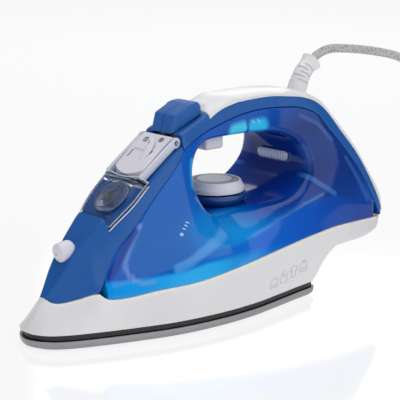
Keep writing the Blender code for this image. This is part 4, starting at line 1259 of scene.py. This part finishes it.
def makeDoor():
    gap, depth, wall, pivot = body["gap"], body["doorDepth"], door["wall"], body["pivot"]
    first, last = body["doorFoot"] + gap, body["windowEnd"]
    half = halfWidth(-62, crest(-62) - 7)

    def bow(rings):
        return bowed(rings, door["bowStart"], last, door["bow"], half)

    stations = [first, first + 0.3, first + 0.9, *stationsBetween(-88.6, last - 1, 1.2), last - 0.4, last]
    rings = sectionRings(stations, lambda x: crest(x) - depth + gap, crest, rows=6, footRound=0.5, ends=(1.2, 0.8),
                         topPoints=15)
    window = lofted("fillerDoor", bow(rings), "clear", 40.0)
    rings = sectionRings(stationsBetween(-88.2, last - wall, 1.6), lambda x: crest(x) - depth - 3,
                         lambda x: crest(x) - wall, inset=wall, rows=4, ends=(1.0, 0.6), topPoints=15)
    cutAway(window, lofted("doorInside", bow(rings), None))
    fix(window, "door", "clear", "filler_door")

    # two arms with eyes, and the pins that they turn on
    startZ = crest(last) - 3.6
    middle = ((last + pivot.x) / 2 - 1.5, (startZ + pivot.z) / 2 - 0.5)
    slope = math.degrees(math.atan2(pivot.z - startZ, pivot.x - last))
    for label, side in (("Near", -1), ("Far", 1)):
        arm = block(f"doorArm{label}", (middle[0], side * door["armY"], middle[1]), door["armSize"], "frosted",
                    -slope, 0.7)
        joinTo(arm, turned("doorEye", door["eye"], "frosted", (pivot.x, side * door["eyeY"], pivot.z),
                           (0, side, 0), 40))
        bore(arm, (pivot.x, -30, pivot.z), (pivot.x, 30, pivot.z), door["pinBore"])
        fix(arm, "door", "clear")
        pin = turned(f"doorPin{label}", door["pin"], "steel", (pivot.x, side * door["pinY"], pivot.z),
                     (0, side, 0), 24)
        fix(pin, "iron", "steel", f"door_pin_{label.lower()}")

    # pale glossy lines round the window, across its top and along the arms: a painted highlight on their edges
    low = depth - 0.7
    edge = halfWidth(first, crest(first) - low)
    front = [(first - 0.1, y, crest(first) - low) for y in steps(-edge, edge, 13)]
    near, far = ([(x, side * (halfWidth(x, crest(x) - low) + 0.1), crest(x) - low)
                  for x in steps(first + 0.4, last - 0.5, 25)] for side in (-1, 1))
    outer = [*near[::-1], *front, *far]
    inner = [(x + 1.6, y * 0.9, z + 2.2) for x, y, z in outer]
    plan = [(last - door["bow"] * max(1 - t**2, 0.0), half * t) for t in steps(-0.97, 0.97, 25)]
    top = [(x, y, crownZ(x, y) + 0.1) for x, y in plan]
    rise = (pivot.z - startZ) / (pivot.x - last)
    arms = [[(x, side * 17.4, startZ + 3.4 + (x - last) * rise) for x in steps(last + 1, pivot.x - 2, 9)]
            for side in (-1, 1)]
    fix(lines("doorRim", [outer, inner, top, *arms], "rim", door["rimGlintRadius"], 8), "door", "clear")

    # the ring and the generic jug printed on the window, drawn small and then enlarged
    cx, scale = door["symbolX"], door["symbolScale"]
    ring = [(cx + 5.6 * math.cos(a), 5.6 * math.sin(a)) for a in steps(0, 2 * math.pi, 61)]
    jug = [(-78.6, -2.2), (-74.2, -2.6), (-73.6, 1.8), (-75.2, 2.9), (-78.9, 1.6), (-78.6, -2.2)]
    spout = [(-73.9, -2.5), (-72.6, -3.6), (-72.9, -1.2)]
    wave = [(-77.2 + 0.5 * math.sin(t * 6), -1.8 + t * 3.2) for t in steps(0, 1, 9)]
    water = [[(-78.3, y), (-76.4, y * 0.96)] for y in (-1.6, -0.8, 0, 0.8)]
    grown = [[(cx + (x - cx) * scale, y * scale) for x, y in route] for route in (ring, jug, spout, wave, *water)]
    fix(onCrown("doorSymbol", grown, 0.05, door["symbolLine"]), "door", "black")

    # the funnel's mouth and the recess round it
    fix(turned("fillerFunnel", funnel["bowl"], "smoky", (funnel["x"], 0, 0), segments=48), "iron", "clear",
        "filler_funnel")
    lean = Vector((crest(funnel["x"] - 1) - crest(funnel["x"] + 1), 0, 2)).normalized()
    foot = (funnel["x"], 0, crest(funnel["x"]) - depth)
    fix(turned("fillerDish", funnel["dish"], "dish", foot, lean, 64), "iron", "clear")


slider = {
    "place": (-46.0, -5.0),
    "half": 14.4,
    "below": 0.4,
    "lean": 40.7,
    "slope": 0.86,
    "length": 13.0,
    "tall": 4.2,
    "wide": 2.2,
    "groove": (2.8, 19, 2.4),
    "stem": (1.8, 3.6, 2.2),
    "pinHole": 1.6,
}


def makeSlider():
    gap, depth, below, pivot = body["gap"], body["doorDepth"], slider["below"], body["pivot"]
    first, last = body["windowEnd"] + 2 + gap, -31.5
    x0, y0 = slider["place"]
    top = crest(x0)
    stations = [first, first + 0.3, first + 0.9, *stationsBetween(-56, -33, 1.2), -32.2, -31.7, last]
    rings = sectionRings(stations, lambda x: crest(x) - depth + gap, lambda x: crest(x) - below, rows=6,
                         footRound=0.4, width=lambda x, z: min(halfWidth(x, z), slider["half"]), ends=(1.0, 0.8),
                         topPoints=15)
    plate = lofted("sliderPlate", bowed(rings, -44, first, door["bow"], slider["half"]), "lilac", 40.0)
    inside = [[(x, y, crest(x) - deep) for y, deep in ((-11, depth + 2), (-11, 3.4), (11, 3.4), (11, depth + 2))]
              for x in stationsBetween(-56, -33.5, 4)]
    cutAway(plate, lofted("plateInside", inside, None))
    for side in (-1, 1):
        bore(plate, (pivot.x, side * 12.9, pivot.z), (pivot.x, side * 20, pivot.z), slider["pinHole"])
    cutAway(plate, block("sliderGroove", (x0, 0, top), slider["groove"], None, -slider["lean"], 0.3))
    fix(plate, "iron", "lilac", "slider_plate")

    sections = []
    for share in steps(0, 1, 17):
        x = x0 - 7 + slider["length"] * share
        base = top + (x - x0) * slider["slope"]
        tall = 0.6 + slider["tall"] * math.sin(math.pi * min(share * 0.62, 1)) ** 1.2
        wide = 0.9 + slider["wide"] * math.sin(math.pi * min(share * 0.9 + 0.05, 1))
        ring = []
        for a in steps(0, 2 * math.pi, 25)[:-1]:
            c, s = math.cos(a), math.sin(a)
            across = wide * abs(c) ** 0.7 * (1 if c > 0 else -1)
            up = tall * s if s > 0 else 0.35 * s
            ring.append((x, y0 + across * (1 - 0.45 * max(s, 0)), base + 0.25 + up))
        sections.append(ring)
    fin = lofted("steamSlider", sections, "lilac", 50.0)
    joinTo(fin, block("sliderStem", (x0, y0, top + 0.3), slider["stem"], None, -slider["lean"], 0.3))
    fix(fin, "slider", "lilac", "steam_slider")
    notch = [(x0 + 1 + t, y0, top + (1 + t) * slider["slope"] + slider["tall"] + 0.5 - 0.15 * t)
             for t in steps(0, 4, 5)]
    fix(lines("sliderMark", [notch], "mark", 0.45), "slider", "black")

    # icons beside the slider: no steam, some steam, full steam
    def cloud(x, y, size):
        return [(x + size * (0.9 + 0.16 * math.cos(5 * a)) * math.cos(a), y + size * math.sin(a) * 1.1)
                for a in steps(0, 2 * math.pi, 25)]

    routes = [cloud(-37.4, 6.4, 1.7), [(-39.3, 4.9), (-35.5, 8.0)], cloud(-36.6, 0.2, 1.4), cloud(-35.6, -7.2, 1.7),
              [(-35.6, -8.2), (-35.6, -6.2)], [(-36.5, -7.2), (-34.7, -7.2)],
              [(x, 9.4) for x in steps(-51.6, -46.4, 5)]]
    fix(onCrown("steamIcons", routes, 0.05 - below, 0.34), "iron", "black")


makeDoor()
makeSlider()
print("door and slider ready")


# Buttons, pumps and springs
button = {
    "front": -30.0,
    "rear": -1.5,
    # distance from the middle, and how far the outline draws in there
    "rows": ((0.15, 0.5), (0.4, 0.1), (1.0, 0), (4, 0), (8.0, 0.0), (9.3, 0.25), (10.1, 0.8), (10.6, 1.6),
             (10.9, 2.6), (11.0, 3.8)),
    # corners of the top: inward from the front or the rear, height, rounding
    "rearCorners": ((-0.3, 143.2, 1.4), (-3, 146.2, 1.8), (-9, 145.6, 2.5)),
    "frontCorners": ((9, 141.6, 2.5), (3.2, 139.0, 1.2)),
    "pumpPlace": (-22, 6),
    "coilRadius": 3.1,
    "coilRise": 4.7,
    "coilFoot": 123.9,
    "coilTurns": 4,
    "wire": 0.4,
    "plunger": ((1.4, 119.8), (1.8, 120.2), (1.8, 129.0), (1.5, 129.4)),
    "pump": ((4.2, 113), (4.6, 113.4), (4.6, 122.6), (4.2, 123), (2.4, 123), (2.1, 122.7), (2.1, 116), (1.6, 115.8)),
}


def buttonOutline(shrink):
    droop, foot = 0.3 * shrink, 0.4 * shrink
    front, rear = button["front"] + shrink, button["rear"] - shrink
    corners = [((front, crest(button["front"]) + 0.4 + foot), 0.4), ((rear, crest(button["rear"]) + 0.2 - foot), 0.4)]
    corners += [((rear + x, z - droop), radius) for x, z, radius in button["rearCorners"]]
    corners += [((front + x, z - droop), radius) for x, z, radius in button["frontCorners"]]
    outline = []
    for i, (corner, radius) in enumerate(corners):
        here, before, after = (Vector(p) for p in (corner, corners[i - 1][0], corners[(i + 1) % len(corners)][0]))
        reach = min(radius, (before - here).length * 0.45, (after - here).length * 0.45)
        start, end = here + (before - here).normalized() * reach, here + (after - here).normalized() * reach
        outline += [start * (1 - t) ** 2 + here * 2 * t * (1 - t) + end * t**2 for t in steps(0, 1, 6)]
    return outline


def buttonTop(x):
    return 145.7 if x > -10.5 else 140.2 + (x + 21) * 0.514


def makeButtons():
    for action, label, side in (("spray", "sprayButton", 1), ("steam_boost", "boostButton", -1)):
        rings = [[(p.x, side * y, p.y) for p in buttonOutline(shrink)] for y, shrink in button["rows"]]
        fix(lofted(label, rings, "button", 36.0), action, "button_blue", f"{action}_button")
        # a moulded drop, or three moulded wisps, on top
        if side > 0:
            routes = [[(-16 + 2.2 * math.cos(a) * (1.3 if math.cos(a) < 0 else 1), 5.6 + 1.6 * math.sin(a))
                       for a in steps(0, 2 * math.pi, 25)]]
        else:
            routes = [[(-18.5 + 5 * t, -7.4 + 2.0 * k + 0.5 * math.sin(6.3 * t)) for t in steps(0, 1, 11)]
                      for k in (0, 1, 2)]
        routes = [[(x, y, buttonTop(x) + 0.02) for x, y in route] for route in routes]
        fix(lines(f"{label}Icon", routes, "button", 0.24), action, "button_blue")

        cx, cy = button["pumpPlace"][0], side * button["pumpPlace"][1]
        radius, turns = button["coilRadius"], 2 * math.pi * button["coilTurns"]
        coil = [Vector((cx + radius * math.cos(a), cy + radius * math.sin(a),
                        button["coilFoot"] + button["coilRise"] * a / turns)) for a in steps(0, turns, 97)]
        spring = lofted(f"{label}Spring", sweptRings(coil, [button["wire"]] * len(coil), 8), "steel", 50.0)
        fix(spring, "iron", "steel", f"{action}_spring")
        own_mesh(spring)
        for part, rider, segments in (("plunger", action, 32), ("pump", "iron", 40)):
            piece = turned(f"{label}{part.title()}", button[part], "lilac", (cx, cy, 0), segments=segments)
            fix(piece, rider, "lilac", f"{action}_{part}")


makeButtons()
print("buttons ready")


# Dial, with its grip and scale instanced round it
dial = {
    "x": 20.0,
    "ribs": 96,
    "ribSize": (0.5, 0.55, 2.0),
    "ribRadius": 20.6,
    "ribHeight": 81.2,
    "ticks": 28,
    "tickSize": (2.6, 0.5, 0.3),
    "tickRadius": 13.6,
    "tickHeight": 87.82,
    "socket": (75, 84, 3.1),
    "knob": ((3.1, 80.2), (17, 80.2), (20.3, 79.5), *arc((20.4, 80.2), 0.6, -60, 0, 4), (21, 82.2),
             *arc((20.2, 82.4), 0.8, 0, 55, 5), (18.8, 86.8), *arc((18.1, 86.8), 0.6, 30, 90, 4), (17.5, 87.4),
             (17.2, 87.1), (17.2, 86.6), (1, 86.6)),
    "face": ((15, 86.9), (16.8, 87.0), (16.8, 87.4), (16.4, 87.65), (10, 87.85), (3, 88.0), (0.5, 88.0)),
    "collar": ((17.6, 71.8), (19.4, 71.8), (21.2, 73.9), (22.2, 75.4), (22.4, 76.2), (22.4, 78.2), (22.1, 78.7),
               (20.7, 78.7), (20.4, 78.4), (20.2, 76.4), (17.6, 71.8)),
    "shaft": ((2.3, 24.6), (2.6, 24.9), (2.6, 83.2), (2.3, 83.6)),
}


def ringTree():
    # instances one small mesh round the Z axis, evenly, facing outwards
    group = bpy.data.node_groups.new("ringOfPieces", "GeometryNodeTree")
    for name, kind, value in (("Piece", "Object", None), ("Count", "Int", 48), ("Radius", "Float", 0.02),
                              ("Height", "Float", 0.08), ("Jitter", "Float", 0.0), ("Seed", "Int", 4),
                              ("Finish", "Material", None)):
        socket = group.interface.new_socket(name, in_out="INPUT", socket_type=f"NodeSocket{kind}")
        if value is not None:
            socket.default_value = value
    group.interface.new_socket("Geometry", in_out="OUTPUT", socket_type="NodeSocketGeometry")
    made = Tree(group)
    given = made.add("NodeGroupInput").outputs
    circle = made.add("GeometryNodeMeshCircle", Vertices=given["Count"], Radius=given["Radius"])
    rise = made.add("ShaderNodeCombineXYZ", Z=given["Height"])
    lift = made.add("GeometryNodeSetPosition", Geometry=circle.outputs["Mesh"], Offset=rise.outputs["Vector"])
    share = made.add("ShaderNodeMath", "DIVIDE", _0=made.add("GeometryNodeInputIndex").outputs["Index"],
                     _1=given["Count"])
    angle = made.add("ShaderNodeMath", "MULTIPLY", _0=share.outputs[0], _1=2 * math.pi)
    facing = made.add("ShaderNodeCombineXYZ", Z=angle.outputs[0])
    turn = made.add("FunctionNodeEulerToRotation", Euler=facing.outputs["Vector"])
    low = made.add("ShaderNodeMath", "SUBTRACT", _0=1.0, _1=given["Jitter"])
    size = made.add("FunctionNodeRandomValue", _2=low.outputs[0], _3=1.0, Seed=given["Seed"])
    item = made.add("GeometryNodeObjectInfo", Object=given["Piece"])
    place = made.add("GeometryNodeInstanceOnPoints", Points=lift.outputs["Geometry"],
                     Instance=item.outputs["Geometry"], Rotation=turn.outputs["Rotation"], Scale=size.outputs[1])
    plain = made.add("GeometryNodeRealizeInstances", Geometry=place.outputs["Instances"])
    finish = made.add("GeometryNodeSetMaterial", Geometry=plain.outputs["Geometry"], Material=given["Finish"])
    made.add("NodeGroupOutput", Geometry=finish.outputs["Geometry"])
    return group


def ringOf(name, tree, piece, finish, **inputs):
    holder = bpy.data.objects.new(name, bpy.data.meshes.new(name))
    bpy.context.scene.collection.objects.link(holder)
    change = holder.modifiers.new("ring", "NODES")
    change.node_group = tree
    sockets = {item.name: item.identifier for item in tree.interface.items_tree if item.in_out == "INPUT"}
    for label, value in {"Piece": piece, "Finish": finish, **inputs}.items():
        change[sockets[label]] = value
    settle(holder, 40.0)
    holder.data.transform(Matrix.Translation((dial["x"] * mm, 0, 0)))
    bpy.data.objects.remove(piece)
    return holder


def makeDial():
    centre = (dial["x"], 0, 0)
    knob = turned("temperatureDial", dial["knob"], "lilac", centre, segments=128)
    low, high, radius = dial["socket"]
    bore(knob, (dial["x"], 0, low), (dial["x"], 0, high), radius)
    fix(knob, "dial", "lilac", "temperature_dial")
    fix(turned("dialDisc", dial["face"], "dialGrey", centre, segments=96), "dial", "rubber", "dial_disc")
    fix(turned("dialCollar", dial["collar"], "recess", centre, segments=96), "iron", "tank_blue", "dial_collar")
    fix(turned("thermostatShaft", dial["shaft"], "brass", centre, segments=40), "dial", "brass", "thermostat_shaft")
    tree = ringTree()
    for name, part, bevel, finish, slot, jitter, seed in (("dialGrip", "rib", 0.2, "lilac", "lilac", 0.03, 4),
                                                          ("dialTicks", "tick", 0.1, "mark", "black", 0.0, 7)):
        small = block(part, (0, 0, 0), dial[f"{part}Size"], None, 0, bevel, 1)
        ring = ringOf(name, tree, small, finishes[finish], Count=dial[f"{part}s"], Radius=dial[f"{part}Radius"] * mm,
                      Height=dial[f"{part}Height"] * mm, Jitter=jitter, Seed=seed)
        fix(ring, "dial", slot)


def onSide(x, z, lift):
    return (x, -halfWidth(x, z) - lift, z)


sideMarks = {
    # generic outlines of a label, a tag, a garment and an iron: points, and where the middle lies on the skirt
    "care": (
        (((-4, -3), (4, -3), (4, 3), (-4, 3), (-4, -3)), 29, 20),
        (((-3, -1.2), (3, -1.2)), 29, 20),
        (((-3.4, -4), (3.4, -4), (3.4, 2.2), (0, 4.6), (-3.4, 2.2), (-3.4, -4)), 40, 22),
        ([(0.8 * math.cos(a), 1.2 + 0.8 * math.sin(a)) for a in steps(0, 2 * math.pi, 13)], 40, 22),
        (((-2.4, -4), (2.4, -4), (2.4, 1), (4, 0), (3.2, 3.4), (0.8, 4.2), (-0.8, 4.2), (-3.2, 3.4), (-4, 0),
          (-2.4, 1), (-2.4, -4)), 51, 24),
        (((-4, -3.4), (4, -3.4), (4, 0.4), (2.2, 3.6), (-2.2, 3.6), (-4, 0.4), (-4, -3.4)), 62, 25),
        (((-3, -1.2), (3, -1.2)), 62, 25),
        (((-1.6, 3.6), (-1.2, 5), (1.2, 5), (1.6, 3.6)), 62, 25),
    ),
    # a filled drop and three short strokes above it, on the tank
    "level": (
        ((-47.6, 65.2), (-46.8, 67.0)), ((-46.9, 65.0), (-46.1, 66.7)), ((-46.2, 64.8), (-45.4, 66.4)),
        ((-44.6, 69.6), (-43.0, 68.6)), ((-42.6, 71.4), (-41.0, 70.3)), ((-41.2, 73.2), (-39.0, 72.0)),
    ),
}


def makeSideMarks():
    care = [[onSide(x + u, z + v, 0.06) for u, v in shape] for shape, x, z in sideMarks["care"]]
    fix(lines("careIcons", care, "careMark", 0.2), "iron", "black")
    level = [[onSide(x, z, 0.1) for x, z in route] for route in sideMarks["level"]]
    fix(lines("levelMark", level, "paleMark", 0.42), "iron", "black")


fittings = {
    "lensHeight": 97.5,
    # x, half length, half height, bulge, depth of the ribs
    "pilotLens": (78.0, 15, 3.5, 1.3, 0.14),
    "lensSeat": (79.5, 17.5, 5.6, 0.5, 0),
    "ribStep": 1.5,
    "catchPlace": (15, 0, 114.6),
    "catchSize": (17, 12, 9.8),
    "nozzlePlace": (-108.2, 0, 59.9),
    "nozzleAxis": (-0.985, 0, -0.17),
    "nozzle": ((2.2, -10), (2.2, -1), (5.2, -0.2), (5.8, 0.4), (6.4, 3), (6.5, 6), (6.4, 9),
               *arc((5.2, 9.6), 1.2, 20, 80, 6), (3.4, 11.6), (1.1, 12.2), (0.9, 11.4)),
}


def capsule(name, finish):
    # an oval bulge across the body, with cross ribs where it has any
    x, half, tall, deep, ribs = fittings[name]
    rings = []
    for y in steps(-half, half, 121):
        z = math.sqrt(max(tall**2 - max(abs(y) - (half - tall), 0.0) ** 2, 0.01))
        rib = 1 + ribs * math.cos(2 * math.pi * y / fittings["ribStep"])
        bulge = deep * rib * min(1, 0.35 + z / tall * 0.65)
        rings.append([(x + bulge * math.copysign(abs(math.cos(a)) ** 0.6, math.cos(a)), y,
                       fittings["lensHeight"] + z * math.copysign(abs(math.sin(a)) ** 0.8, math.sin(a)))
                      for a in (2 * math.pi * k / 32 for k in range(32))])
    return lofted(name, rings, finish, 50.0)


def makeFittings():
    fix(capsule("pilotLens", "lens"), "iron", "clear", "pilot_lens")
    fix(capsule("lensSeat", "recess"), "iron", "tank_blue")
    catch = block("handleCatch", fittings["catchPlace"], fittings["catchSize"], "lilac", 0, 2.2, 5)
    fix(catch, "iron", "lilac", "handle_catch")
    nozzle = turned("sprayNozzle", fittings["nozzle"], "lilac", fittings["nozzlePlace"], fittings["nozzleAxis"], 64)
    fix(nozzle, "iron", "lilac", "spray_nozzle")


makeDial()
makeSideMarks()
makeFittings()
print("dial and fittings ready")


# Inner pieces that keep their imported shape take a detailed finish
innerFinish = {
    "lead": "liveWire", "casting": "aluminium", "thermostat": "aluminium", "valve_seat": "brass", "lamp": "brass",
    "hose": "rubber", "bush": "rubber", "fuse": "lilac", "terminal": "lilac", "clamp": "lilac",
}
exactFinish = {"neutral_lead": "neutralWire", "earth_lead": "earthWire", "live_lead": "liveWire"}
for name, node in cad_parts.items():
    if node.hide_render:
        continue
    found = exactFinish.get(name) or next((value for key, value in innerFinish.items() if key in name), "steel")
    node.data.materials.clear()
    node.data.materials.append(finishes[found])
    print("kept", name, found)

[tuple(point * mm) for point in cordPath(14, 15)]
